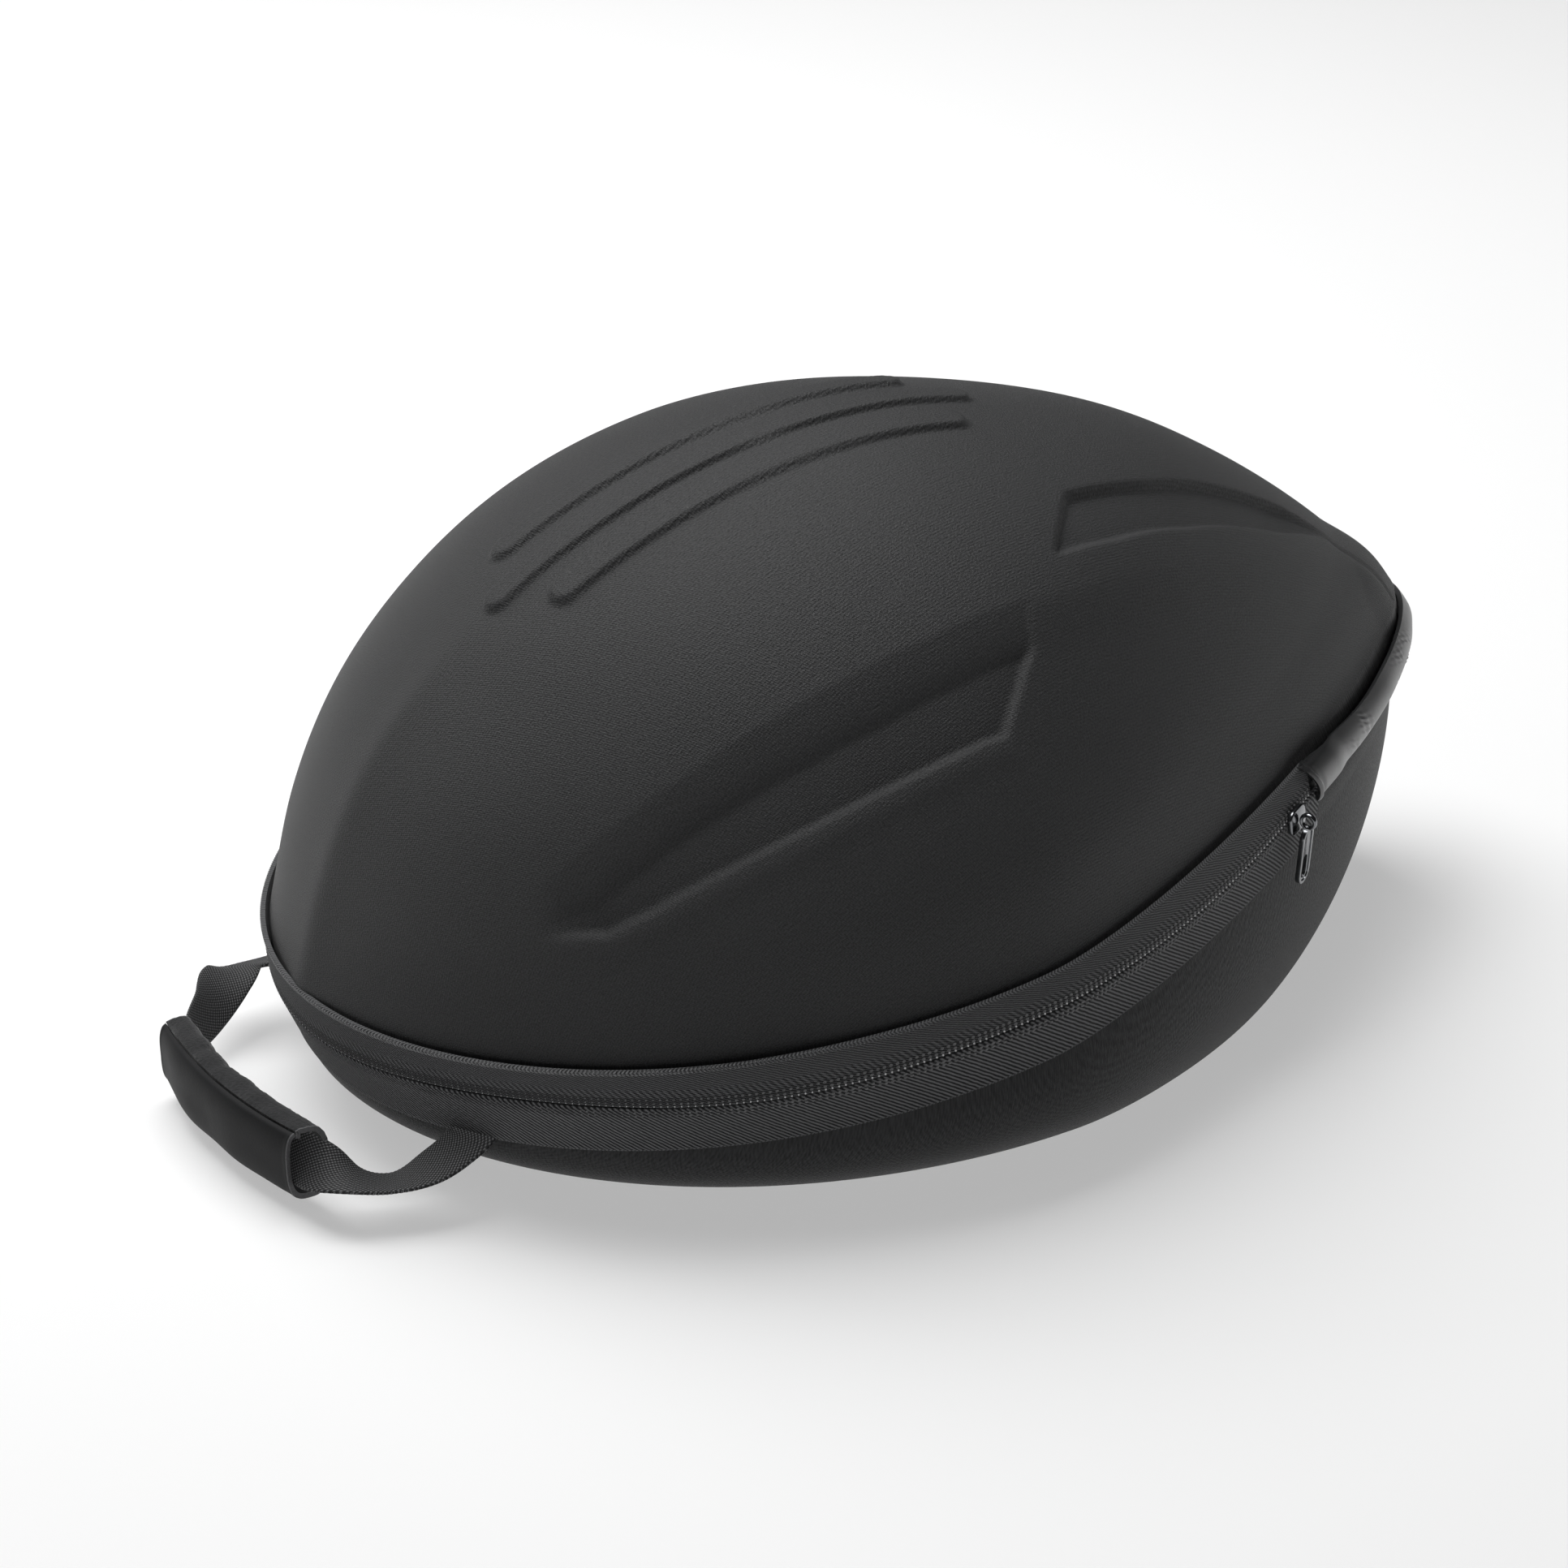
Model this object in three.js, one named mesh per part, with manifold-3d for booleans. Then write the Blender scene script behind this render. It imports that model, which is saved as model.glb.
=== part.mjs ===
// A moulded clamshell case for a cycling helmet: two foam shells, a zip round the front and the sides,
// a hinge patch round the tail and a webbing carry handle at the nose.
// Millimetres, +Z up; the nose is at -X, the tail at +X, and the base stands on z = 0.
import * as THREE from 'three';
import { mergeVertices } from 'three/addons/utils/BufferGeometryUtils.js';
import Module from 'manifold-3d';

const { abs, cos, max, min, PI, sign, sin } = Math;
const { degToRad, lerp, smoothstep } = THREE.MathUtils;

// Zip line from above: a blunt nose and a drawn-out tail, in a level frame that is pitched up to the tail
const caseLength = 380;
const caseHalf = 132;
const widestAt = -28;
const noseRound = 1.95;
const tailRound = 1.37;
const tipSoftness = 0.22;
const casePitch = degToRad(8.5);
const zipHeight = 58;
const zipBow = -1.6;
const zipDip = -7.2;

// Shell walls and the gap between touching pieces
const wall = 4;
const gap = 0.3;
const rimGap = 3;
const shellColumns = 72;

// Lid: level sections every 15 degrees of its arch, as reach from the crown to nose, tail and side
const crownAt = -23;
const crownRise = 128;
const lidSections = [
  { nose: 164, tail: 210, half: 129 },
  { nose: 151.5, tail: 182, half: 125 },
  { nose: 134, tail: 151, half: 112 },
  { nose: 108, tail: 117.5, half: 93 },
  { nose: 79.5, tail: 76.5, half: 66.5 },
  { nose: 41, tail: 40, half: 35.5 },
  { nose: 0, tail: 0, half: 0 },
];
const tailLip = { reach: 3, climb: 0.06, span: 0.08 };
const lidClimbs = [...evenly(0, 0.15, 3), ...evenly(0.18, 0.6, 12), ...evenly(0.66, 0.94, 4)];

// Lid relief, from above: how far out from the middle line each edge lies along the length
const shoulderLine = [
  { along: -150, out: 58 },
  { along: -120, out: 73 },
  { along: -82, out: 83 },
  { along: -41, out: 85.5 },
  { along: -4, out: 84.5 },
  { along: 30, out: 80 },
  { along: 66, out: 70 },
  { along: 93, out: 59 },
  { along: 127, out: 42 },
  { along: 160, out: 22 },
];
const spearFoot = [
  { along: -146, out: 64 },
  { along: -132, out: 77 },
  { along: -111, out: 85 },
  { along: -73, out: 94 },
  { along: -50, out: 96 },
  { along: -18, out: 95 },
  { along: 9, out: 93 },
];
const spearSill = [
  { along: -146, out: 68 },
  { along: -131, out: 83 },
  { along: -105, out: 95.5 },
  { along: -65, out: 105.5 },
  { along: -43, out: 107.5 },
  { along: 9, out: 108 },
];
const spearEnd = [
  { out: 84, along: 9 },
  { out: 94, along: 4.5 },
  { out: 102, along: -6 },
  { out: 108, along: -15 },
];
const finTop = [
  { along: 28, out: 54 },
  { along: 44, out: 53 },
  { along: 76, out: 44.5 },
  { along: 108, out: 33 },
  { along: 136, out: 23.5 },
  { along: 152, out: 20 },
];
const finSill = [
  { along: 27, out: 72 },
  { along: 50, out: 66.5 },
  { along: 82, out: 55.5 },
  { along: 126, out: 36.5 },
  { along: 152, out: 21.5 },
];
const finEnd = [
  { out: 53, along: 44 },
  { out: 72, along: 27 },
];
const spearDepth = 4;
const finDepth = 2.6;
const creaseDepth = 2;
const creaseReach = 14;
const creaseFade = 60;
const creaseStart = { from: -150, to: -110 };
const spearFullWidth = 18;
const finFullWidth = 8;
const edgeSoftness = 3;

// Bowl: flat oval base, and how far its wall bellies out at nose, side and tail
const baseReach = 128;
const baseHalf = 98;
const baseWidestAt = 12;
const bellyNose = -4;
const bellySide = 8;
const bellyTail = 0;
const floorStep = 6;
const bowlRingsInside = 5;
const bowlRingsOutside = 9;

// Zip: tapes, coil and the angle round the tail where they end under the hinge patch
const tapeThick = 1.2;
const tapeRise = 12.4;
const tapeRiseInset = 1.4;
const tapeDrop = 16.3;
const tapeDropInset = 4.6;
const tapeEnd = degToRad(46);
const tapeSteps = 62;
const coilHalf = 2.4;
const coilThick = 2.2;

// Hinge patch: a roll over the ends of the zip, tapered to its two ends
const patchThick = 1.5;
const patchTop = 8.5;
const patchTopAtEnds = 11.5;
const patchLow = -4.5;
const patchLowAtEnds = -1.5;
const patchTaper = 0.3;
const patchLap = { from: 0.08, to: 0.14, sink: 1.3 };
const patchRoll = 2.7;
const patchEndTop = degToRad(49.6);
const patchEndLow = degToRad(48);
const patchSteps = 24;
const patchRows = 6;

// Slider and pull, on the near side just ahead of the patch
const sliderAngle = degToRad(-51.5);
const sliderLength = 11;
const sliderHeight = 9;
const sliderThick = 1.6;
const sliderRound = 2;
const bridgeLength = 8;
const bridgeHeight = 3.6;
const bridgeBar = 1.3;
const bridgeWidth = 2;
const bridgeRound = { outside: 0.9, inside: 0.4 };
const bridgeSunk = 0.4;
const knuckleBore = 1.55;
const knuckleRadius = 2.5;
const knuckleWidth = 4;
const pullWidth = 7;
const pullLength = 19;
const pullThick = 1.4;
const pullRound = 2.4;
const pullNeck = 2;
const pullLean = degToRad(10);
const pullSlot = { width: 3, length: 6.5, fromEnd: 2.2, round: 1.4 };

// Handle: strap legs between the seams under the lower tape and the grip, with the turn of its width
const strapWidth = 15;
const strapThick = 1.5;
const strapSteps = 44;
const strapSeat = 1.6;
const strapInGrip = 0.97;
const seamDrop = 1.2;
const seamLead = { out: 5, down: 2.5 };
const nearLeg = {
  seam: degToRad(206),
  leadTurn: 0,
  stations: [
    { x: -178.5, y: -55.5, z: 13, turn: -6 },
    { x: -187, y: -50, z: 10, turn: -20 },
    { x: -196, y: -45, z: 12, turn: -52 },
  ],
};
const farLeg = {
  seam: degToRad(148),
  leadTurn: 15,
  stations: [
    { x: -174, y: 69.5, z: 17.5, turn: 26 },
    { x: -185, y: 64, z: 18, turn: -20 },
    { x: -195, y: 53, z: 15.5, turn: -68 },
  ],
};

// Grip: an open flattened sleeve, bowed a little outwards, of a smooth panel and a fuzzy wrap
const gripHalfLength = 38.5;
const gripSlid = 2.5;
const gripAt = -207.7;
const gripSkew = 1.7;
const gripBow = 3;
const gripCentreZ = 14.9;
const gripHalfHeight = 11.3;
const gripHalfThick = 6.5;
const gripWall = 1.5;
const gripSquareness = 3;
const gripSteps = 10;
const panelFrom = degToRad(118);
const panelTo = degToRad(302);
const wrapFrom = degToRad(-55);
const wrapTo = degToRad(115.5);
const sleeveSides = 12;

const knitBlack = new THREE.MeshStandardMaterial({ color: 0x26272a, roughness: 0.92, metalness: 0 });
const twillBlack = new THREE.MeshStandardMaterial({ color: 0x1d1e20, roughness: 0.8, metalness: 0 });
const coilBlack = new THREE.MeshStandardMaterial({ color: 0x141416, roughness: 0.5, metalness: 0 });
const leatheretteBlack = new THREE.MeshStandardMaterial({ color: 0x202123, roughness: 0.55, metalness: 0 });
const gunmetal = new THREE.MeshStandardMaterial({ color: 0x15171a, roughness: 0.25, metalness: 0.9 });
const webbingBlack = new THREE.MeshStandardMaterial({ color: 0x232426, roughness: 0.75, metalness: 0 });
const loopBlack = new THREE.MeshStandardMaterial({ color: 0x2b2c2e, roughness: 1, metalness: 0 });

const whole = new THREE.Group();
const pitched = new THREE.Group();
pitched.rotation.y = -casePitch;
pitched.position.z = zipHeight;
whole.add(pitched);
whole.updateMatrixWorld(true);

const wasm = await Module();
wasm.setup();

// Closed solid from points and triangles, with its faces turned outwards
function closedGeometry(points, triangles) {
  let volume = 0;
  for (const [a, b, c] of triangles) {
    volume += points[a].dot(new THREE.Vector3().crossVectors(points[b], points[c]));
  }
  const outward = volume > 0 ? triangles : triangles.map(([a, b, c]) => [a, c, b]);
  const geometry = new THREE.BufferGeometry().setFromPoints(points);
  geometry.setIndex(outward.flat());
  return geometry;
}

// Hollow form: closed rings of equal count between two poles
function ringSolid(startPole, rings, endPole) {
  const count = rings[0].length;
  const points = [startPole, ...rings.flat(), endPole];
  const triangles = [];
  const at = (ring, column) => 1 + ring * count + (column % count);
  for (let column = 0; column < count; column++) {
    triangles.push([0, at(0, column), at(0, column + 1)]);
    for (let ring = 0; ring + 1 < rings.length; ring++) {
      triangles.push([at(ring, column), at(ring + 1, column), at(ring + 1, column + 1)]);
      triangles.push([at(ring, column), at(ring + 1, column + 1), at(ring, column + 1)]);
    }
    triangles.push([at(rings.length - 1, column), points.length - 1, at(rings.length - 1, column + 1)]);
  }
  return closedGeometry(points, triangles);
}

// Strip: sections with an outer and an inner row of points, in order along a path, capped at both ends
function stripSolid(sections) {
  const rows = sections[0].outer.length;
  const points = sections.flatMap(({ outer, inner }) => [...outer, ...inner.toReversed()]);
  const loop = 2 * rows;
  const triangles = [];
  for (let step = 0; step + 1 < sections.length; step++) {
    for (let corner = 0; corner < loop; corner++) {
      const next = (corner + 1) % loop;
      const [a, b] = [step * loop + corner, step * loop + next];
      triangles.push([a, b, b + loop], [a, b + loop, a + loop]);
    }
  }
  const last = points.length - loop;
  for (let row = 0; row + 1 < rows; row++) {
    const [a, b, c, d] = [row, row + 1, loop - 2 - row, loop - 1 - row];
    triangles.push([a, c, b], [a, d, c]);
    triangles.push([last + a, last + b, last + c], [last + a, last + c, last + d]);
  }
  return closedGeometry(points, triangles);
}

// Joined solid of overlapping closed geometries
function joined(geometries) {
  const solids = geometries.map((geometry) => {
    const bare = geometry.clone();
    bare.deleteAttribute('normal');
    bare.deleteAttribute('uv');
    const merged = mergeVertices(bare, 1e-4);
    const vertProperties = new Float32Array(merged.attributes.position.array);
    const triVerts = new Uint32Array(merged.index.array);
    return new wasm.Manifold(new wasm.Mesh({ numProp: 3, vertProperties, triVerts }));
  });
  const { vertProperties, triVerts } = solids.reduce((sum, solid) => sum.add(solid)).getMesh();
  const geometry = new THREE.BufferGeometry();
  geometry.setAttribute('position', new THREE.BufferAttribute(vertProperties, 3));
  geometry.setIndex(new THREE.BufferAttribute(triVerts, 1));
  return geometry;
}

function addMesh(parent, name, geometry, material) {
  const mesh = new THREE.Mesh(geometry, material);
  mesh.name = name;
  parent.add(mesh);
  return mesh;
}

// Numbers from one value to another in even steps, both ends included
function evenly(from, to, steps) {
  return Array.from({ length: steps + 1 }, (unused, step) => lerp(from, to, step / steps));
}

// Value of one column of a table at a place in another, straight between the rows
function readTable(table, place, key, value) {
  const after = table.findIndex((row) => row[key] >= place);
  if (after === 0) return table[0][value];
  if (after < 0) return table.at(-1)[value];
  const [before, next] = [table[after - 1], table[after]];
  return lerp(before[value], next[value], (place - before[key]) / (next[key] - before[key]));
}

// Point on a level oval whose nose and tail have their own reach and roundness; angle 0 is the tail
function ovalPoint({ nose, tail, half, widest, round }, angle) {
  const [c, s] = [cos(angle), sin(angle)];
  const power = 2 / (c < 0 ? round.nose : round.tail);
  const reach = c < 0 ? widest - nose : tail - widest;
  const eased = (t) => t * ((t ** 2 + tipSoftness ** 2) / (1 + tipSoftness ** 2)) ** ((power - 1) / 2);
  return { x: widest + reach * eased(c), y: half * eased(s) };
}

// Height of the zip line over its level plane
function zipSag(x) {
  const q = (2 * x) / caseLength;
  return zipBow * q ** 2 + zipDip * q ** 3;
}

// Point beside the zip line: rise above it and inset from its outline
function zipPoint(angle, rise, inset) {
  const [tail, half] = [caseLength / 2 - inset, caseHalf - inset];
  const round = { nose: noseRound, tail: tailRound };
  const { x, y } = ovalPoint({ nose: -tail, tail, half, widest: widestAt, round }, angle);
  return new THREE.Vector3(x, y, rise + zipSag(x));
}

// Inset of the tapes' outer face at a rise over the zip line
function tapeInset(rise) {
  return rise > 0 ? (tapeRiseInset * rise) / tapeRise : (-tapeDropInset * rise) / tapeDrop;
}

// Depth of the moulded relief below the plain lid at a place seen from above
function reliefDepth(x, y) {
  const out = abs(y);
  const shoulder = readTable(shoulderLine, x, 'along', 'out');
  const foot = max(readTable(spearFoot, x, 'along', 'out'), shoulder + 1);
  const sill = readTable(spearSill, x, 'along', 'out');
  const spearTail = readTable(spearEnd, out, 'out', 'along');
  const spear =
    spearDepth *
    min(1, max(0, sill - shoulder) / spearFullWidth) *
    smoothstep(out, shoulder, foot) *
    (1 - smoothstep(out, sill - edgeSoftness, sill + edgeSoftness)) *
    (1 - smoothstep(x, spearTail - edgeSoftness, spearTail + edgeSoftness));
  const top = readTable(finTop, x, 'along', 'out');
  const finLow = readTable(finSill, x, 'along', 'out');
  const finFront = readTable(finEnd, out, 'out', 'along');
  const fin =
    finDepth *
    min(1, max(0, finLow - top) / finFullWidth) *
    smoothstep(out, top - edgeSoftness, top + edgeSoftness) *
    (1 - smoothstep(out, finLow - edgeSoftness, finLow + edgeSoftness)) *
    smoothstep(x, finFront - edgeSoftness, finFront + edgeSoftness);
  const crease =
    creaseDepth *
    smoothstep(x, creaseStart.from, creaseStart.to) *
    smoothstep(out, shoulder, shoulder + creaseReach) *
    (1 - smoothstep(out, shoulder + creaseReach, shoulder + creaseFade));
  return max(spear, crease) + fin;
}

const lidCurve = new THREE.CatmullRomCurve3(
  lidSections.map(({ nose, tail, half }) => new THREE.Vector3(nose, tail, half)),
  false,
  'catmullrom',
);

// Plain lid surface: climb 0 is the tape's upper edge and 1 the crown; thick moves it inwards
function lidPoint(angle, climb, thick) {
  const row = lidCurve.getPoint(climb);
  const rim = lidSections[0];
  const up = sin((climb * PI) / 2);
  const nose = crownAt - row.x * (1 - thick / rim.nose);
  const lip = tailLip.reach * max(0, 1 - ((climb - tailLip.climb) / tailLip.span) ** 2) ** 2;
  const tail = crownAt + (row.y + lip) * (1 - thick / rim.tail);
  const half = row.z * (1 - thick / rim.half);
  const widest = min(max(lerp(widestAt, crownAt, up), nose), tail);
  const round = { nose: lerp(noseRound, 2, climb), tail: lerp(tailRound, 2, climb) };
  const { x, y } = ovalPoint({ nose, tail, half, widest, round }, angle);
  const rise = lerp(tapeRise, crownRise - thick, up);
  return new THREE.Vector3(x, y, rise + zipSag(x) * (1 - up));
}

// Lid surface with its relief pressed in along the plain surface's normal
function mouldedLidPoint(angle, climb, thick) {
  const nudge = 0.01;
  const point = lidPoint(angle, climb, thick);
  const plain = lidPoint(angle, climb, 0);
  const depth = reliefDepth(plain.x, plain.y);
  const along = lidPoint(angle + nudge, climb, 0).sub(lidPoint(angle - nudge, climb, 0));
  const upwards = lidPoint(angle, climb + nudge, 0).sub(lidPoint(angle, max(climb - nudge, 0), 0));
  const normal = along.cross(upwards).normalize();
  return point.addScaledVector(normal, -depth);
}

const columnAngles = evenly(0, 2 * PI, shellColumns).slice(0, shellColumns);

function buildUpperShell() {
  const rimInset = tapeInset(rimGap) + tapeThick + gap;
  const ring = (climb, thick) => columnAngles.map((angle) => mouldedLidPoint(angle, climb, thick));
  const rim = (thick) => columnAngles.map((angle) => zipPoint(angle, rimGap, rimInset + thick));
  const rings = [
    ...lidClimbs.toReversed().map((climb) => ring(climb, 0)),
    rim(0),
    rim(wall),
    ...lidClimbs.filter((climb, step) => step % 2 === 0).map((climb) => ring(climb, wall)),
  ];
  const crown = new THREE.Vector3(crownAt, 0, crownRise);
  const ceiling = new THREE.Vector3(crownAt, 0, crownRise - wall);
  addMesh(pitched, 'upper_shell', ringSolid(crown, rings, ceiling), knitBlack);
}

// Bowl wall at a sweep from 0 at the base's edge to 1 at the lower tape's edge
function bowlPoint(angle, sweep, thick) {
  const nudge = 0.01;
  const rimInset = tapeDropInset + tapeThick + gap + thick;
  const rim = pitched.localToWorld(zipPoint(angle, -tapeDrop, rimInset));
  const along = zipPoint(angle + nudge, 0, 0).sub(zipPoint(angle - nudge, 0, 0));
  const outward = new THREE.Vector3(along.y, -along.x, 0).normalize();
  const round = { nose: 2, tail: 2 };
  const step = (floorStep * thick) / wall;
  const floor = { nose: step - baseReach, tail: baseReach - step, half: baseHalf - step };
  const foot = ovalPoint({ ...floor, widest: baseWidestAt, round }, angle);
  const arch = (sweep * PI) / 2;
  const lift = 1 - cos(arch);
  const belly = lerp(bellySide, cos(angle) < 0 ? bellyNose : bellyTail, cos(angle) ** 2) * sin(PI * lift);
  return new THREE.Vector3(
    lerp(foot.x, rim.x, sin(arch)) + outward.x * belly,
    lerp(foot.y, rim.y, sin(arch)) + outward.y * belly,
    lerp(thick, rim.z, lift),
  );
}

function buildLowerShell() {
  const rimInset = tapeInset(-rimGap) + tapeThick + gap;
  const ring = (sweep, thick) => columnAngles.map((angle) => bowlPoint(angle, sweep, thick));
  const rim = (thick) =>
    columnAngles.map((angle) => pitched.localToWorld(zipPoint(angle, -rimGap, rimInset + thick)));
  const rings = [
    ...evenly(0, 1, bowlRingsInside).map((sweep) => ring(sweep, wall)),
    rim(wall),
    rim(0),
    ...evenly(1, 0, bowlRingsOutside).map((sweep) => ring(sweep, 0)),
  ];
  const hub = new THREE.Vector3(baseWidestAt, 0, 0);
  addMesh(whole, 'lower_shell', ringSolid(hub.clone().setZ(wall), rings, hub), knitBlack);
}

// Strip along the zip line between two rises, with the inset of its outer face at each
function zipStrip(rises, insetAt, thick) {
  const sections = evenly(tapeEnd, 2 * PI - tapeEnd, tapeSteps).map((angle) => ({
    outer: rises.map((rise) => zipPoint(angle, rise, insetAt(rise))),
    inner: rises.map((rise) => zipPoint(angle, rise, insetAt(rise) + thick)),
  }));
  return stripSolid(sections);
}

function buildZip() {
  addMesh(pitched, 'zip_tape_upper', zipStrip([tapeRise, gap / 2], tapeInset, tapeThick), twillBlack);
  addMesh(pitched, 'zip_tape_lower', zipStrip([-gap / 2, -tapeDrop], tapeInset, tapeThick), twillBlack);
  const coilInset = tapeInset(-coilHalf) + tapeThick + gap;
  addMesh(pitched, 'zip_coil', zipStrip([coilHalf, -coilHalf], () => coilInset, coilThick), coilBlack);
}

// Row of the hinge patch's section at a share of its half length, from its upper to its lower edge
function patchRow(share, across, thick) {
  const grown = smoothstep(1 - abs(share), 0, patchTaper);
  const rise = lerp(lerp(patchTopAtEnds, patchTop, grown), lerp(patchLowAtEnds, patchLow, grown), across);
  const pastTape = patchLap.sink * smoothstep(1 - abs(share), patchLap.from, patchLap.to);
  const out = gap - tapeInset(rise) - pastTape + patchRoll * sin(PI * across);
  return zipPoint(share * lerp(patchEndTop, patchEndLow, across), rise, -out - thick);
}

function buildHingePatch() {
  const rows = evenly(0, 1, patchRows);
  const sections = evenly(-1, 1, patchSteps).map((share) => ({
    outer: rows.map((across) => patchRow(share, across, patchThick)),
    inner: rows.map((across) => patchRow(share, across, 0)),
  }));
  addMesh(pitched, 'hinge_patch', stripSolid(sections), leatheretteBlack);
}

// Rounded rectangle about a centre, as a shape or as a hole in one
function roundedRectangle(path, x, y, width, height, radius) {
  const [left, right, low, high] = [x - width / 2, x + width / 2, y - height / 2, y + height / 2];
  path.moveTo(left + radius, low);
  path.lineTo(right - radius, low);
  path.absarc(right - radius, low + radius, radius, -PI / 2, 0);
  path.lineTo(right, high - radius);
  path.absarc(right - radius, high - radius, radius, 0, PI / 2);
  path.lineTo(left + radius, high);
  path.absarc(left + radius, high - radius, radius, PI / 2, PI);
  path.lineTo(left, low + radius);
  path.absarc(left + radius, low + radius, radius, PI, 1.5 * PI);
  return path;
}

function extruded(shape, depth, curveSegments = 3) {
  return new THREE.ExtrudeGeometry(shape, { depth, bevelEnabled: false, curveSegments });
}

// The slider's own frame: x along the zip, y up and z out of the case
function sliderFrame() {
  const nudge = 0.01;
  const along = zipPoint(sliderAngle + nudge, 0, 0).sub(zipPoint(sliderAngle - nudge, 0, 0)).normalize();
  const outward = new THREE.Vector3(along.y, -along.x, 0).normalize();
  const upward = new THREE.Vector3().crossVectors(outward, along);
  const frame = new THREE.Group();
  frame.quaternion.setFromRotationMatrix(new THREE.Matrix4().makeBasis(along, upward, outward));
  frame.position.copy(zipPoint(sliderAngle, 0, 0));
  pitched.add(frame);
  return frame;
}

function buildSlider() {
  const frame = sliderFrame();
  const face = gap + sliderThick;
  const outline = roundedRectangle(new THREE.Shape(), 0, 0, sliderLength, sliderHeight, sliderRound);
  const plate = extruded(outline, sliderThick);
  plate.translate(0, 0, gap);

  const archHeight = bridgeHeight + bridgeSunk;
  const arch = new THREE.Shape();
  roundedRectangle(arch, 0, archHeight / 2, bridgeLength, archHeight, bridgeRound.outside);
  const window = new THREE.Path();
  const windowHeight = bridgeHeight - bridgeBar;
  const windowLength = bridgeLength - 2 * bridgeBar;
  roundedRectangle(window, 0, bridgeSunk + windowHeight / 2, windowLength, windowHeight, bridgeRound.inside);
  arch.holes.push(window);
  const bridge = extruded(arch, bridgeWidth);
  bridge.translate(0, 0, -bridgeWidth / 2);
  bridge.rotateX(PI / 2);
  bridge.translate(0, 0, face - bridgeSunk);
  addMesh(frame, 'zip_slider', joined([plate, bridge]), gunmetal);

  const swing = new THREE.Group();
  swing.position.z = face + bridgeHeight - bridgeBar / 2;
  swing.rotation.x = pullLean;
  frame.add(swing);
  const ring = new THREE.Shape().absarc(0, 0, knuckleRadius, 0, 2 * PI);
  ring.holes.push(new THREE.Path().absarc(0, 0, knuckleBore, 0, 2 * PI));
  const knuckle = extruded(ring, knuckleWidth, 8);
  knuckle.translate(0, 0, -knuckleWidth / 2);
  knuckle.rotateY(PI / 2);
  const tab = new THREE.Shape();
  roundedRectangle(tab, 0, -pullNeck - pullLength / 2, pullWidth, pullLength, pullRound);
  const slot = new THREE.Path();
  const slotCentre = -pullNeck - pullLength + pullSlot.fromEnd + pullSlot.length / 2;
  roundedRectangle(slot, 0, slotCentre, pullSlot.width, pullSlot.length, pullSlot.round);
  tab.holes.push(slot);
  const blade = extruded(tab, pullThick);
  blade.translate(0, 0, -pullThick / 2);
  addMesh(swing, 'zip_pull', joined([knuckle, blade]), gunmetal);
}

// Middle of the grip's sleeve at a share of its half length; -1 is its near end
function gripCentre(share) {
  const x = gripAt - gripSkew * share - gripBow * (1 - share ** 2);
  return new THREE.Vector3(x, gripSlid + share * gripHalfLength, gripCentreZ);
}

// A leg's first two stations: its end under the tape's edge, and a lead straight out from the case
function seamStations({ seam, leadTurn }) {
  const end = pitched.localToWorld(zipPoint(seam, -tapeDrop - seamDrop, tapeDropInset + tapeThick / 2));
  const outward = pitched.localToWorld(zipPoint(seam, -tapeDrop - seamDrop, 0)).sub(end).setZ(0).normalize();
  const lead = end.clone().addScaledVector(outward, seamLead.out);
  lead.z -= seamLead.down;
  const station = ({ x, y, z }, turn) => ({ x, y, z, turn });
  return [station(end, 0), station(lead, leadTurn)];
}

// Strap from the near seam through the grip to the far seam
function buildStrap() {
  const inGrip = evenly(-strapInGrip, strapInGrip, 4).map((share) => {
    const { x, y, z } = gripCentre(share);
    return { x: x + strapSeat, y, z, turn: -90 };
  });
  const near = [...seamStations(nearLeg), ...nearLeg.stations];
  const far = [...seamStations(farLeg), ...farLeg.stations];
  const stations = [...near, ...inGrip, ...far.toReversed()];
  const line = new THREE.CatmullRomCurve3(stations.map(({ x, y, z }) => new THREE.Vector3(x, y, z)));
  const turns = new THREE.CatmullRomCurve3(stations.map(({ turn }) => new THREE.Vector3(turn, 0, 0)));
  const sections = evenly(0, 1, strapSteps).map((share) => {
    const centre = line.getPoint(share);
    const along = line.getTangent(share);
    const side = new THREE.Vector3(along.y, -along.x, 0).normalize();
    const upward = new THREE.Vector3().crossVectors(side, along);
    const turn = degToRad(turns.getPoint(share).x);
    const across = side.multiplyScalar(cos(turn)).addScaledVector(upward, sin(turn));
    const face = new THREE.Vector3().crossVectors(along, across);
    const corner = (wide, thick) =>
      centre
        .clone()
        .addScaledVector(across, (wide * strapWidth) / 2)
        .addScaledVector(face, (thick * strapThick) / 2);
    return { outer: [corner(-1, 1), corner(1, 1)], inner: [corner(-1, -1), corner(1, -1)] };
  });
  addMesh(whole, 'handle_webbing', stripSolid(sections), webbingBlack);
}

// Part of the grip's sleeve between two angles round its section; angle 0 faces the case, 90 degrees is up
function sleevePart(from, to) {
  const angles = evenly(from, to, sleeveSides);
  const power = 2 / gripSquareness;
  const sections = evenly(-1, 1, gripSteps).map((share) => {
    const centre = gripCentre(share);
    const skin = (inset) =>
      angles.map((angle) => {
        const [c, s] = [cos(angle), sin(angle)];
        const x = centre.x + (gripHalfThick - inset) * sign(c) * abs(c) ** power;
        const z = centre.z + (gripHalfHeight - inset) * sign(s) * abs(s) ** power;
        return new THREE.Vector3(x, centre.y, z);
      });
    return { outer: skin(0), inner: skin(gripWall) };
  });
  return stripSolid(sections);
}

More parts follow.
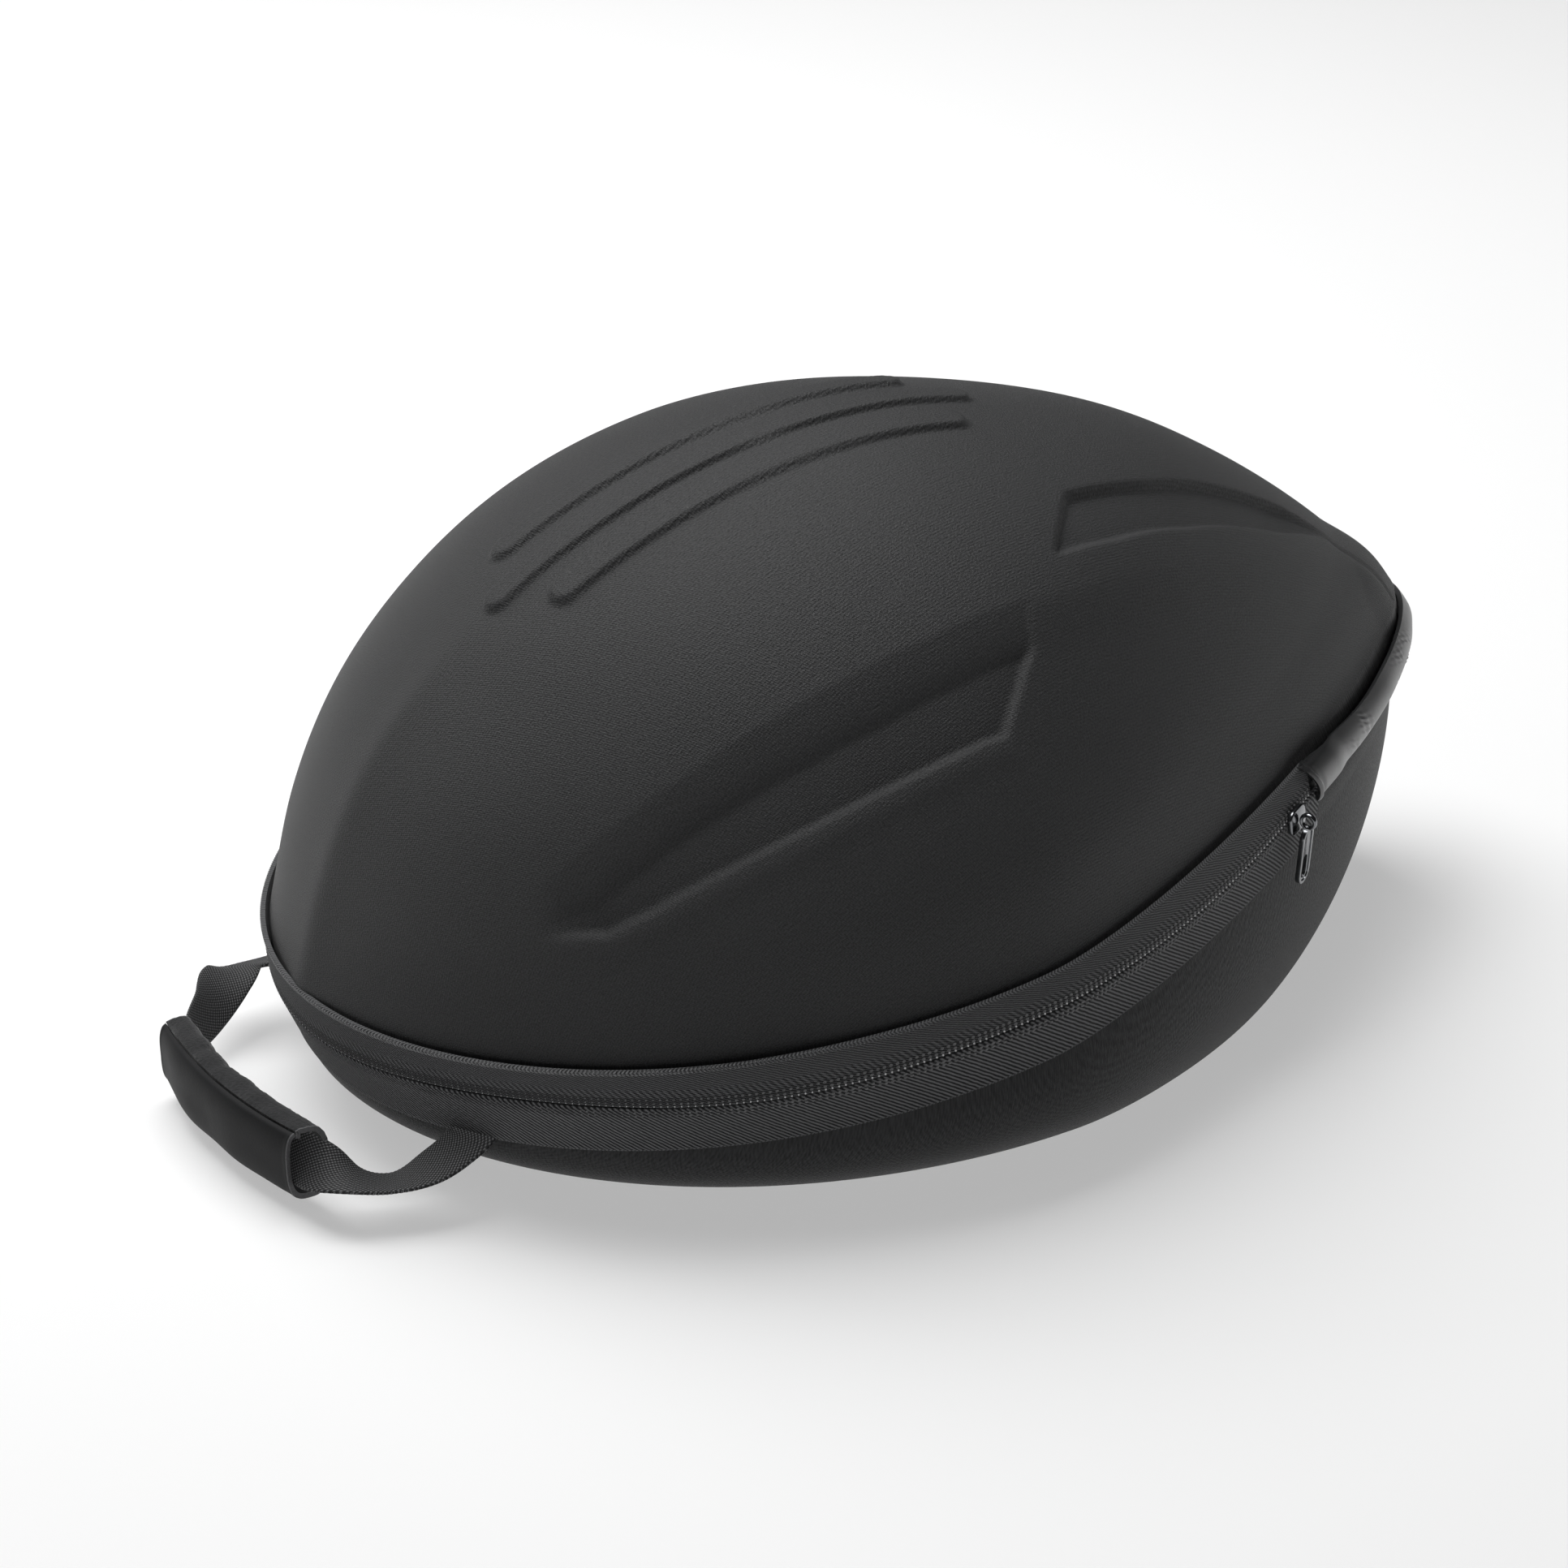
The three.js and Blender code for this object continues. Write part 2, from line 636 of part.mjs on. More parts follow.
function buildGrip() {
  addMesh(whole, 'handle_grip_panel', sleevePart(panelFrom, panelTo), leatheretteBlack);
  addMesh(whole, 'handle_grip_wrap', sleevePart(wrapFrom, wrapTo), loopBlack);
}

buildUpperShell();
buildLowerShell();
buildZip();
buildHingePatch();
buildSlider();
buildStrap();
buildGrip();

export default whole;
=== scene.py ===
import bpy
import math
import numpy as np
from mathutils import Matrix, Vector


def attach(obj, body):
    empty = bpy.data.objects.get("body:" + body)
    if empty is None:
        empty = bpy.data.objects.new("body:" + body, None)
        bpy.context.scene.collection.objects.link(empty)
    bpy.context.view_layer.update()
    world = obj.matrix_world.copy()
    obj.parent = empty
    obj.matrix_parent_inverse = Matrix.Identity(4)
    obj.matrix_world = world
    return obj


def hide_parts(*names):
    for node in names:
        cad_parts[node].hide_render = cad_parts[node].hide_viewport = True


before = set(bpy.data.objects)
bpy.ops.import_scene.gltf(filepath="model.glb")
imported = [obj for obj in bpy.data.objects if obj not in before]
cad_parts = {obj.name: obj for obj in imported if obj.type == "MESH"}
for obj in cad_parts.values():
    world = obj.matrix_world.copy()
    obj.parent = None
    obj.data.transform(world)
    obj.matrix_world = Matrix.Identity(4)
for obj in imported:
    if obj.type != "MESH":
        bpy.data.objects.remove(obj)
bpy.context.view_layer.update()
scene = bpy.context.scene
mm = 0.001  # the sizes below are in millimetres, and a mesh is in metres
turn = 2 * math.pi
print("frame loaded")


# Sums that the shapes share

def held(share):
    return np.clip(share, 0, 1)


def blendStep(value, low, high):
    share = held((value - low) / (high - low))
    return share * share * (3 - 2 * share)


def mixed(start, end, share):
    return start + (end - start) * share


def readTable(table, place):
    return np.interp(place, [row[0] for row in table], [row[1] for row in table])


def unit(vectors):
    return vectors / np.linalg.norm(vectors, axis=-1, keepdims=True)


def softPeak(value, middle, reach):
    return np.exp(-((value - middle) / reach) ** 2)


def joined(*parts):
    return np.stack(parts, axis=-1)


def lengthsAlong(line):
    return np.concatenate([[0], np.cumsum(np.linalg.norm(np.diff(line, axis=0), axis=1))])


# Smooth curve through stops, evenly timed or timed by how far apart they lie
def runThrough(stops, share, timed=False):
    stops = np.asarray(stops, float)
    ends = [2 * stops[0] - stops[1], 2 * stops[-1] - stops[-2]]
    row = np.vstack([ends[0], stops, ends[1]])
    step = np.linalg.norm(np.diff(row, axis=0), axis=1) ** 0.5 if timed else np.ones(len(row) - 1)
    along = held(share) * (len(stops) - 1)
    first = np.minimum(along.astype(int), len(stops) - 2)
    t = (along - first)[..., None]
    a, b, c, d = (row[first + k] for k in range(4))
    before, here, after = (step[first + k][..., None] for k in range(3))
    leave = here * ((b - a) / before - (c - a) / (before + here) + (c - b) / here)
    reach = here * ((c - b) / here - (d - b) / (here + after) + (d - c) / after)
    return b + t * (leave + t * (3 * (c - b) - 2 * leave - reach + t * (2 * (b - c) + leave + reach)))


# Cheap repeatable unevenness: a few crossed waves, about -1 to 1
def unevenness(x, y, wave, seed):
    total = np.zeros_like(x)
    for k in range(6):
        heading = 2.399 * k + 1.7 * seed
        stretch = 1 + 0.31 * math.sin(5.1 * k + seed)
        phase = 9.7 * math.sin(3.3 * k + 2.9 * seed)
        total += np.sin(turn / (wave * stretch) * (x * math.cos(heading) + y * math.sin(heading)) + phase)
    return total / 3.2


# Modelling helpers

def named(name):
    piece = bpy.context.object
    piece.name = name
    piece.data.name = name
    return piece


def choose(piece):
    bpy.ops.object.select_all(action="DESELECT")
    bpy.context.view_layer.objects.active = piece
    piece.select_set(True)


def inEdit(piece, *steps):
    choose(piece)
    bpy.ops.object.mode_set(mode="EDIT")
    bpy.ops.mesh.select_all(action="SELECT")
    for step in steps:
        step()
    bpy.ops.object.mode_set(mode="OBJECT")


def weld():
    bpy.ops.mesh.remove_doubles(threshold=1e-6)


def outwards():
    bpy.ops.mesh.normals_make_consistent(inside=False)


def applied(piece, kind, **settings):
    choose(piece)
    modifier = piece.modifiers.new(kind.title(), kind)
    for key, value in settings.items():
        setattr(modifier, key, value)
    bpy.ops.object.modifier_apply(modifier=modifier.name)


def valuesOf(items, key, width, kind=float):
    values = np.empty(len(items) * width, dtype=kind)
    items.foreach_get(key, values)
    return values


# A grid drawn over a surface: place(u, v) gives points and cloth(u, v) the flat cloth, both in millimetres
def gridPiece(name, columns, rows, place, cloth):
    print("modelling", name)
    bpy.ops.mesh.primitive_grid_add(x_subdivisions=columns, y_subdivisions=rows, size=1)
    piece = named(name)
    mesh = piece.data
    flat = valuesOf(mesh.vertices, "co", 3)
    u, v = flat[0::3] + 0.5, flat[1::3] + 0.5
    mesh.vertices.foreach_set("co", (place(u, v) * mm).ravel())
    corners = valuesOf(mesh.loops, "vertex_index", 1, np.int32)
    mesh.uv_layers.active.data.foreach_set("uv", (cloth(u, v)[corners] * mm).ravel())
    mesh.update()
    return piece


# Turns an open sheet's faces away from a point on its inner side, given in metres, and gives it its thickness
def thickened(piece, inside, thick, even):
    middles, normals = (valuesOf(piece.data.polygons, key, 3).reshape(-1, 3) for key in ("center", "normal"))
    if np.sum((middles - np.asarray(inside)) * normals) < 0:
        inEdit(piece, bpy.ops.mesh.flip_normals)
    applied(piece, "SOLIDIFY", thickness=thick * mm, offset=-1, use_even_offset=even)


# One mesh of many copies of a modelled shape, each put in place by its own matrix
def copiesOf(model, name, places):
    points = np.array([list(vertex.co) + [1] for vertex in model.data.vertices])
    faces = [list(face.vertices) for face in model.data.polygons]
    spots = np.concatenate([points @ np.array(place).T for place in places])[:, :3]
    count = len(points)
    every = [[corner + count * k for corner in face] for k in range(len(places)) for face in faces]
    mesh = bpy.data.meshes.new(name)
    mesh.from_pydata(spots.tolist(), [], every)
    mesh.update()
    piece = bpy.data.objects.new(name, mesh)
    scene.collection.objects.link(piece)
    bpy.data.objects.remove(model)
    return piece


def settled(piece, material, node, body="case", smoothAngle=None):
    choose(piece)
    if smoothAngle is None:
        bpy.ops.object.shade_smooth()
    else:
        bpy.ops.object.shade_smooth_by_angle(angle=math.radians(smoothAngle))
    piece.data.materials.clear()
    piece.data.materials.append(material)
    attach(piece, body)
    if node:
        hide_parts(node)


# Material helpers: a wrapped socket that can stand in sums, and a material that adds every node

def operator(operation, turned=False):
    def method(self, other):
        return self.sums(operation, *((other, self) if turned else (self, other)))
    return method


class Wire:
    def __init__(self, tree, socket):
        self.tree = tree
        self.socket = socket

    def sums(self, operation, *values):
        return self.tree.add("ShaderNodeMath", {"operation": operation}, dict(enumerate(values)))

    __add__ = operator("ADD")
    __radd__ = operator("ADD", True)
    __sub__ = operator("SUBTRACT")
    __rsub__ = operator("SUBTRACT", True)
    __mul__ = operator("MULTIPLY")
    __pow__ = operator("POWER")

    def wave(self):
        return self.sums("SINE", self)

    def size(self):
        return self.sums("ABSOLUTE", self)

    def step(self, low, high, start=0, end=1):
        settings = {"interpolation_type": "SMOOTHSTEP"}
        values = {"Value": self, "From Min": low, "From Max": high, "To Min": start, "To Max": end}
        return self.tree.add("ShaderNodeMapRange", settings, values)


class Finish:
    def __init__(self, name, **sockets):
        self.material = bpy.data.materials.new(name)
        self.material.use_nodes = True
        self.nodes = self.material.node_tree.nodes
        self.shader = self.nodes["Principled BSDF"]
        for key, value in sockets.items():
            self.shader.inputs[key.replace("_", " ")].default_value = value

    # Any node: its type, its settings and the values or wires of its sockets
    def add(self, kind, settings=None, values=None, out=0):
        node = self.nodes.new(kind)
        for key, value in (settings or {}).items():
            setattr(node, key, value)
        for key, value in (values or {}).items():
            if isinstance(value, Wire):
                self.material.node_tree.links.new(value.socket, node.inputs[key])
            else:
                node.inputs[key].default_value = value
        return Wire(self, node.outputs[out])

    def noise(self, place, scale, detail=2.0, roughness=0.5):
        values = {"Vector": place, "Scale": scale, "Detail": detail, "Roughness": roughness}
        return self.add("ShaderNodeTexNoise", None, values)

    def objectPlace(self):
        return self.add("ShaderNodeTexCoord", None, None, "Object")

    # The cloth map in millimetres: its place as a vector, then along and across
    def clothPlace(self):
        place = self.add("ShaderNodeUVMap")
        larger = self.add("ShaderNodeVectorMath", {"operation": "SCALE"}, {0: place, "Scale": 1000})
        parts = [self.add("ShaderNodeSeparateXYZ", None, {0: larger}, k) for k in range(2)]
        return larger, parts[0], parts[1]

    def blend(self, share, first, second):
        return self.add("ShaderNodeMix", {"data_type": "RGBA"}, {0: share, 6: first, 7: second}, 2)

    def tint(self, share, dark, light):
        return self.blend(share, (*dark, 1), (*light, 1))

    # The pale cut edge at the open ends of the grip's sleeve
    def rawEnds(self, cloth, speckle):
        along = self.clothPlace()[1]
        cut = along.size().step(grip["halfLength"] - 0.5, grip["halfLength"] - 0.2) * (speckle * 0.8 + 0.3)
        return self.blend(cut, cloth, grip["cutEdge"])

    def feed(self, **wires):
        for key, wire in wires.items():
            self.material.node_tree.links.new(wire.socket, self.shader.inputs[key.replace("_", " ")])

    def bump(self, height, distance, strength=1.0):
        values = {"Height": height, "Distance": distance * mm, "Strength": strength}
        self.feed(Normal=self.add("ShaderNodeBump", None, values))


# Matt black knit over foam: fine crossed ribs, broken up thread by thread
knit = {"pitch": 0.78, "dark": (0.0088, 0.009, 0.0095), "light": (0.032, 0.0324, 0.0337)}


def makeKnit():
    look = Finish("shellKnit", Sheen_Weight=0.06, Sheen_Roughness=0.4, Specular_IOR_Level=0.42)
    place, along, across = look.clothPlace()
    slack = look.noise(place, 0.05) - 0.5
    ribs = ((along + across * 0.55 + slack * 2.0) * (turn / knit["pitch"])).wave()
    threads = ((across - along * 0.2 + slack * 1.4) * (turn / knit["pitch"] * 0.8)).wave()
    fuzz = look.noise(place, 1.35, 3.0, 0.7)
    weave = ribs * 0.16 + threads * 0.13 + (fuzz - 0.5) * 3.0 + 0.5
    patches = look.noise(place, 0.012, 3.0)
    look.feed(Base_Color=look.tint(weave + (patches - 0.5) * 0.25, knit["dark"], knit["light"]))
    look.feed(Roughness=0.66 - weave * 0.15)
    look.bump(weave, 0.22, 0.7)
    return look.material


# Zip tape: fine slanted twill, a band of longer strokes by the stitches and a woven outer edge, painted pale
# round the nose as a painted highlight; painted shade darkens the cloth by the meeting line
upperTwill = {"edge": 12.4, "slope": -0.4, "pitch": 0.7, "contrast": 0.3, "strokes": 0.3, "selvedge": 1.1}
lowerTwill = {"edge": 16.3, "slope": 0.84, "pitch": 1.37, "contrast": 0.62, "strokes": 0.0, "selvedge": 0.45}
# The edge colour is a painted highlight for the tapes' outer edge round the nose
twill = {
    "noseAt": 494, "paintedHighlightFrom": 90, "paintedHighlightTo": 170, "strokePitch": 1.85, "dotPitch": 0.6, "braidPitch": 1.5,
    "dark": (0.008, 0.0082, 0.009), "light": (0.14, 0.142, 0.146), "edge": (0.12, 0.121, 0.124, 1),
}


def makeTwill(name, cloth):
    look = Finish(name, Sheen_Weight=0.1, Sheen_Roughness=0.4, Specular_IOR_Level=0.25)
    place, along, across = look.clothPlace()
    slack = look.noise(place, 0.5) - 0.5
    rows = across.size()
    ribs = ((along * cloth["slope"] - rows + slack * 0.5) * (turn / cloth["pitch"])).wave()
    strokes = ((along + rows * 0.9 + slack * 0.4) * (turn / twill["strokePitch"])).wave()
    band = rows.step(3.2, 3.7) * (1 - rows.step(5.6, 6.4)) * cloth["strokes"]
    dotTurn = turn / twill["dotPitch"]
    dots = (along * dotTurn).wave() * (rows * dotTurn).wave()
    edgeStart = cloth["edge"] - cloth["selvedge"]
    atEdge = rows.step(edgeStart - 0.15, edgeStart + 0.1)
    fromMiddle = (rows - (cloth["edge"] - 0.5 * cloth["selvedge"])).size()
    braid = ((along * 1.4 - fromMiddle * 1.6) * (turn / twill["braidPitch"])).wave()
    fuzz = look.noise(place, 2.4, 2.0, 0.6) - 0.5
    body = ribs * cloth["contrast"] + strokes * band + dots * 0.16 + 0.42
    weave = body * (1 - atEdge) + (braid * 0.35 + 0.5) * atEdge + fuzz * 0.7
    # Painted shade: the cloth darkens towards the line where the two tapes meet and roll in
    paintedLineShade = 1 - rows.step(0.15, 0.5)
    underStitches = rows.step(0.6, 0.9) * (1 - rows.step(3.2, 3.7)) * 0.3
    plain = look.tint(weave - paintedLineShade * 0.8 - underStitches, twill["dark"], twill["light"])
    # Painted highlight: the woven outer edge is tinted pale only round the nose, where the light falls on it
    paintedHighlightShare = 1 - (along - twill["noseAt"]).size().step(twill["paintedHighlightFrom"], twill["paintedHighlightTo"])
    pale = atEdge * paintedHighlightShare * (0.35 + braid * 0.3)
    look.feed(Base_Color=look.blend(pale, plain, twill["edge"]), Roughness=0.85 - weave * 0.25)
    look.bump(weave, 0.3, 0.8)
    return look.material


def makeThread(name, dark, light):
    look = Finish(name, Roughness=0.55, Sheen_Weight=0.3)
    place = look.objectPlace()
    worn = look.noise(place, 900, 2.0)
    look.feed(Base_Color=look.tint(worn, dark, light))
    look.bump(look.noise(place, 2500), 0.08)
    return look.material


def makeCoil():
    look = Finish("zipCoil")
    place = look.objectPlace()
    worn = look.noise(place, 700, 3.0)
    look.feed(Base_Color=look.tint(worn, (0.004, 0.004, 0.0045), (0.014, 0.014, 0.015)))
    look.feed(Roughness=0.35 + worn * 0.3)
    return look.material


# Leatherette: fine pebbled grain under a low sheen
def makeLeatherette(name, dark, light, gloss, shine, coat):
    look = Finish(name, Roughness=gloss, Coat_Weight=coat, Coat_Roughness=0.4, Specular_IOR_Level=shine)
    place = look.objectPlace()
    pebbles = look.add("ShaderNodeTexVoronoi", {"feature": "SMOOTH_F1"}, {"Vector": place, "Scale": 1700})
    fine = look.noise(place, 2600, 2.0)
    worn = look.noise(place, 90, 4.0, 0.6)
    grain = pebbles * 0.6 + fine * 0.5
    skin = look.tint(worn * 0.7 + grain * 0.4 - 0.1, dark, light)
    look.feed(Base_Color=look.rawEnds(skin, fine) if name == "gripLeatherette" else skin)
    look.feed(Roughness=gloss - 0.12 + worn * 0.2 + fine * 0.08)
    look.bump(grain, 0.07, 0.5)
    return look.material


def makeGunmetal():
    look = Finish("sliderMetal", Metallic=1.0, Coat_Weight=0.25, Coat_Roughness=0.08)
    place = look.objectPlace()
    worn = look.noise(place, 260, 4.0, 0.6)
    scuffs = look.noise(place, 1500, 2.0)
    look.feed(Base_Color=look.tint(worn, (0.12, 0.125, 0.132), (0.26, 0.266, 0.275)))
    look.feed(Roughness=0.1 + scuffs * 0.12 + worn * 0.08)
    look.bump(scuffs, 0.02, 0.25)
    return look.material


# Webbing: basket weave whose high crossings are painted pale as a painted highlight, brighter the higher they
# stand; the mesh carries each crossing's height as an attribute
def makeWebbing():
    look = Finish("webbing", Sheen_Weight=0.08, Sheen_Roughness=0.35, Specular_IOR_Level=0.3)
    place, along, across = look.clothPlace()
    paintedGlintHeight = look.add("ShaderNodeAttribute", {"attribute_name": "paintedGlintHeight"}, None, "Fac")
    strands = ((along * 0.6 + across) * (turn / 0.34)).wave()
    fuzz = look.noise(place, 2.0, 2.0)
    # Painted highlight: the colour runs from near black to pale grey with the crossing's height, standing in
    # for the shine of strands facing the light
    weave = paintedGlintHeight ** 4 * 0.95 + strands * 0.05 + (fuzz - 0.5) * 0.3
    look.feed(Base_Color=look.tint(weave, (0.005, 0.0051, 0.0056), (0.3, 0.302, 0.31)))
    look.feed(Roughness=0.8 - paintedGlintHeight * 0.35)
    look.bump(strands * 0.5 + fuzz, 0.07, 0.7)
    return look.material


# Brushed loop cloth, with the paler raw edge at the sleeve's open ends
def makeLoop():
    sheen = {"Sheen_Weight": 0.3, "Sheen_Roughness": 0.5}
    look = Finish("brushedLoop", Roughness=1.0, Specular_IOR_Level=0.1, **sheen)
    place = look.clothPlace()[0]
    nap = look.noise(place, 1.1, 4.0, 0.7)
    loops = look.noise(place, 3.2, 2.0)
    drift = look.noise(place, 0.08, 3.0)
    pile = nap * 0.7 + loops * 0.5 + drift * 0.4 - 0.3
    cloth = look.tint(pile, (0.006, 0.0062, 0.0066), (0.034, 0.0345, 0.036))
    look.feed(Base_Color=look.rawEnds(cloth, loops))
    look.bump(nap + loops * 0.6, 0.35, 0.8)
    return look.material


knitCloth = makeKnit()
gunmetal = makeGunmetal()
print("materials made")


# The case's plan and pitch, which every piece of it follows
case = {
    "length": 380, "half": 132, "widestAt": -28, "noseRound": 1.95, "tailRound": 1.37, "tipSoftness": 0.22,
    "pitch": math.radians(8.5), "zipHeight": 58, "zipBow": -1.6, "zipDip": -7.2, "wall": 4, "gap": 0.3,
}
tape = {
    "thick": 1.2, "rise": 12.4, "riseInset": 0.5, "drop": 16.3, "dropInset": 4.6, "end": math.radians(46),
    "upperEnd": math.radians(48.2),
}


def toFloor(points):
    lean, raised = case["pitch"], case["zipHeight"]
    x, y, z = points[..., 0], points[..., 1], points[..., 2]
    level = x * math.cos(lean) - z * math.sin(lean)
    return joined(level, y, x * math.sin(lean) + z * math.cos(lean) + raised)


# Point on a level oval whose nose and tail have their own reach and roundness; angle 0 is the tail
def ovalPoint(nose, tail, half, widest, noseRound, tailRound, angle):
    c, s = np.cos(angle), np.sin(angle)
    power = np.where(c < 0, 2 / noseRound, 2 / tailRound)
    reach = np.where(c < 0, widest - nose, tail - widest)
    soft = case["tipSoftness"] ** 2
    easedC = c * ((c ** 2 + soft) / (1 + soft)) ** ((power - 1) / 2)
    easedS = s * ((s ** 2 + soft) / (1 + soft)) ** ((power - 1) / 2)
    return widest + reach * easedC, half * easedS


def zipSag(x):
    q = 2 * x / case["length"]
    return case["zipBow"] * q ** 2 + case["zipDip"] * q ** 3


# Point beside the zip line in the case's own level frame
def zipPoint(angle, rise, inset):
    tail, half = case["length"] / 2 - inset, case["half"] - inset
    x, y = ovalPoint(-tail, tail, half, case["widestAt"], case["noseRound"], case["tailRound"], angle)
    return joined(x, y, rise + zipSag(x))


def tapeInset(rise):
    above, below = tape["riseInset"] / tape["rise"], tape["dropInset"] / tape["drop"]
    return np.where(rise > 0, above * rise, -below * rise)


# Angles that are evenly spaced by length along the zip line, and the lengths themselves
zipAngles = np.linspace(0, turn, 20001)
zipLine = zipPoint(zipAngles, 0, 0)
zipLengths = lengthsAlong(zipLine)


def angleAt(length):
    return np.interp(length, zipLengths, zipAngles)


def lengthAt(angle):
    return np.interp(angle, zipAngles, zipLengths)


# Upper shell: level sections of the lid, as reach from the crown to nose, tail and side
lid = {
    "crownAt": -23, "crownRise": 128, "rimGap": 3, "columns": 600, "outerRows": 190, "innerRows": 24,
    "nose": (164, 151.5, 134, 108, 79.5, 41, 0), "tail": (210, 182, 151, 117.5, 76.5, 40, 0),
    "half": (129, 125, 112, 93, 66.5, 35.5, 0), "lipReach": 3, "lipClimb": 0.06, "lipSpan": 0.08,
}
# Its relief seen from above: how far out from the middle line each edge lies along the length, and for the
# two ends how far along the length they lie at each distance out
relief = {
    "shoulder": (
        (-150, 62), (-138, 67.5), (-120, 74), (-99, 79.8), (-75, 84), (-51, 86.8), (-25, 87.4), (3, 84.8),
        (30, 80), (66, 70), (93, 59), (127, 42), (160, 22),
    ),
    "foot": (
        (-146, 68.5), (-132, 79), (-117, 84.5), (-94, 91), (-71, 95.8), (-47, 98.4), (-23, 98.2), (9, 95),
    ),
    "sill": (
        (-146, 70), (-132, 83.2), (-121, 89.3), (-110, 94), (-99, 98.1), (-88, 101.4), (-77, 104.1),
        (-65, 106.3), (-53, 107.9), (-40, 108.9), (-27, 109.1), (9, 108.4),
    ),
    "spearEnd": ((84, 9), (94, 4.5), (102, -6), (108, -15)),
    "finTop": ((28, 54), (44, 53), (76, 44.5), (108, 33), (136, 23.5), (152, 20)),
    "finSill": ((27, 72), (50, 66.5), (82, 55.5), (126, 36.5), (152, 21.5)),
    "finEnd": ((53, 44), (72, 27)),
    "spearDepth": 4, "finDepth": 2.6, "creaseDepth": 2, "creaseReach": 14, "creaseFade": 60,
    "creaseFrom": -140, "creaseTo": -90, "spearFull": 18, "spearNose": -147, "noseFade": 10, "straight": 0.68,
    "finFull": 8, "edge": 1.7, "endEdge": 2.4, "leastLevel": 0.3,
    "sillRaise": 0.5, "raiseOut": 2.2, "raiseReach": 1.8, "raiseEnd": (-4, 2),
}
# Three plain ribs on the crown and a soft keel down the nose
crown = {
    "ribs": ((-17, -96, 30), (0, -108, 42), (17, -96, 30)), "ribHalf": 4.6, "ribHeight": 1.8, "ribEdge": 1.1,
}
keel = {"height": 2.2, "reach": 9, "round": 4, "from": -150, "to": -104}


# How far the surface is pressed in; edges narrow in plan where the dome is steep
def reliefDepth(x, y, level):
    out = np.abs(y)
    edge = relief["edge"] * level
    endEdge, straight = relief["endEdge"], relief["straight"]
    behindNose = blendStep(x, relief["spearNose"], relief["spearNose"] + relief["noseFade"])
    shoulder = readTable(relief["shoulder"], x)
    foot = np.maximum(readTable(relief["foot"], x), shoulder + 1)
    sill = readTable(relief["sill"], x)
    spearTail = readTable(relief["spearEnd"], out)
    spear = relief["spearDepth"] * held((sill - shoulder) / relief["spearFull"])
    slope = held((out - shoulder) / (foot - shoulder))
    spear = spear * (straight * slope + (1 - straight) * slope ** 4)
    spear = spear * (1 - blendStep(out, sill - edge, sill + edge))
    spear = spear * (1 - blendStep(x, spearTail - endEdge, spearTail + endEdge)) * behindNose
    top, low = readTable(relief["finTop"], x), readTable(relief["finSill"], x)
    front = readTable(relief["finEnd"], out)
    fin = relief["finDepth"] * held((low - top) / relief["finFull"])
    fin = fin * blendStep(out, top - edge, top + edge) * (1 - blendStep(out, low - edge, low + edge))
    fin = fin * blendStep(x, front - edge, front + edge)
    creaseFoot = shoulder + relief["creaseReach"]
    dip = relief["creaseDepth"] * blendStep(x, relief["creaseFrom"], relief["creaseTo"])
    dip = dip * blendStep(out, shoulder, creaseFoot)
    dip = dip * (1 - blendStep(out, creaseFoot, shoulder + relief["creaseFade"]))
    raised = relief["sillRaise"] * softPeak(out, sill + relief["raiseOut"], relief["raiseReach"]) * behindNose
    fadeFrom, fadeTo = (spearTail + past for past in relief["raiseEnd"])
    raised = raised * (1 - blendStep(x, fadeFrom, fadeTo))
    return np.maximum(spear, dip) + fin - raised


def crownRelief(x, y):
    height = np.zeros_like(x)
    for side, start, end in crown["ribs"]:
        past = np.maximum(np.maximum(start - x, x - end), 0)
        away = np.hypot(past, y - side) - crown["ribHalf"]
        height += crown["ribHeight"] * (1 - blendStep(away, -crown["ribEdge"], crown["ribEdge"]))
    fade = 1 - blendStep(x, keel["from"], keel["to"])
    away = np.sqrt(y ** 2 + keel["round"] ** 2) - keel["round"]
    return height + keel["height"] * fade * np.exp(-away / keel["reach"])


def lidPoint(angle, climb, thick):
    sections = joined(lid["nose"], lid["tail"], lid["half"])
    row = runThrough(sections, climb)
    up = np.sin(climb * math.pi / 2)
    nose = lid["crownAt"] - row[..., 0] * (1 - thick / lid["nose"][0])
    lip = lid["lipReach"] * np.maximum(0, 1 - ((climb - lid["lipClimb"]) / lid["lipSpan"]) ** 2) ** 2
    tail = lid["crownAt"] + (row[..., 1] + lip) * (1 - thick / lid["tail"][0])
    half = row[..., 2] * (1 - thick / lid["half"][0])
    widest = np.clip(mixed(case["widestAt"], lid["crownAt"], up), nose, tail)
    rounds = mixed(case["noseRound"], 2, climb), mixed(case["tailRound"], 2, climb)
    x, y = ovalPoint(nose, tail, half, widest, rounds[0], rounds[1], angle)
    rise = mixed(tape["rise"], lid["crownRise"] - thick, up)
    return joined(x, y, rise + zipSag(x) * (1 - up))


def mouldedLid(angle, climb, thick):
    nudge = 0.004
    plain = lidPoint(angle, climb, 0)
    along = lidPoint(angle + nudge, climb, 0) - lidPoint(angle - nudge, climb, 0)
    above, below = np.minimum(climb + nudge, 1), np.maximum(climb - nudge, 0)
    upwards = lidPoint(angle, above, 0) - lidPoint(angle, below, 0)
    across = np.cross(along, upwards)
    size = np.linalg.norm(across, axis=-1, keepdims=True)
    normal = np.where(size > 1e-9, across / np.maximum(size, 1e-9), [0, 0, 1])
    lift = -reliefDepth(plain[..., 0], plain[..., 1], np.clip(normal[..., 2], relief["leastLevel"], 1))
    lift = lift + np.where(thick > 0, 0, crownRelief(plain[..., 0], plain[..., 1]))
    return lidPoint(angle, climb, thick) + normal * lift[..., None]


# Rows of points across a shell's rim between its two faces, each with its share of the wall
rimRows = ((1, 0), (2, 0.5), (3, 1))


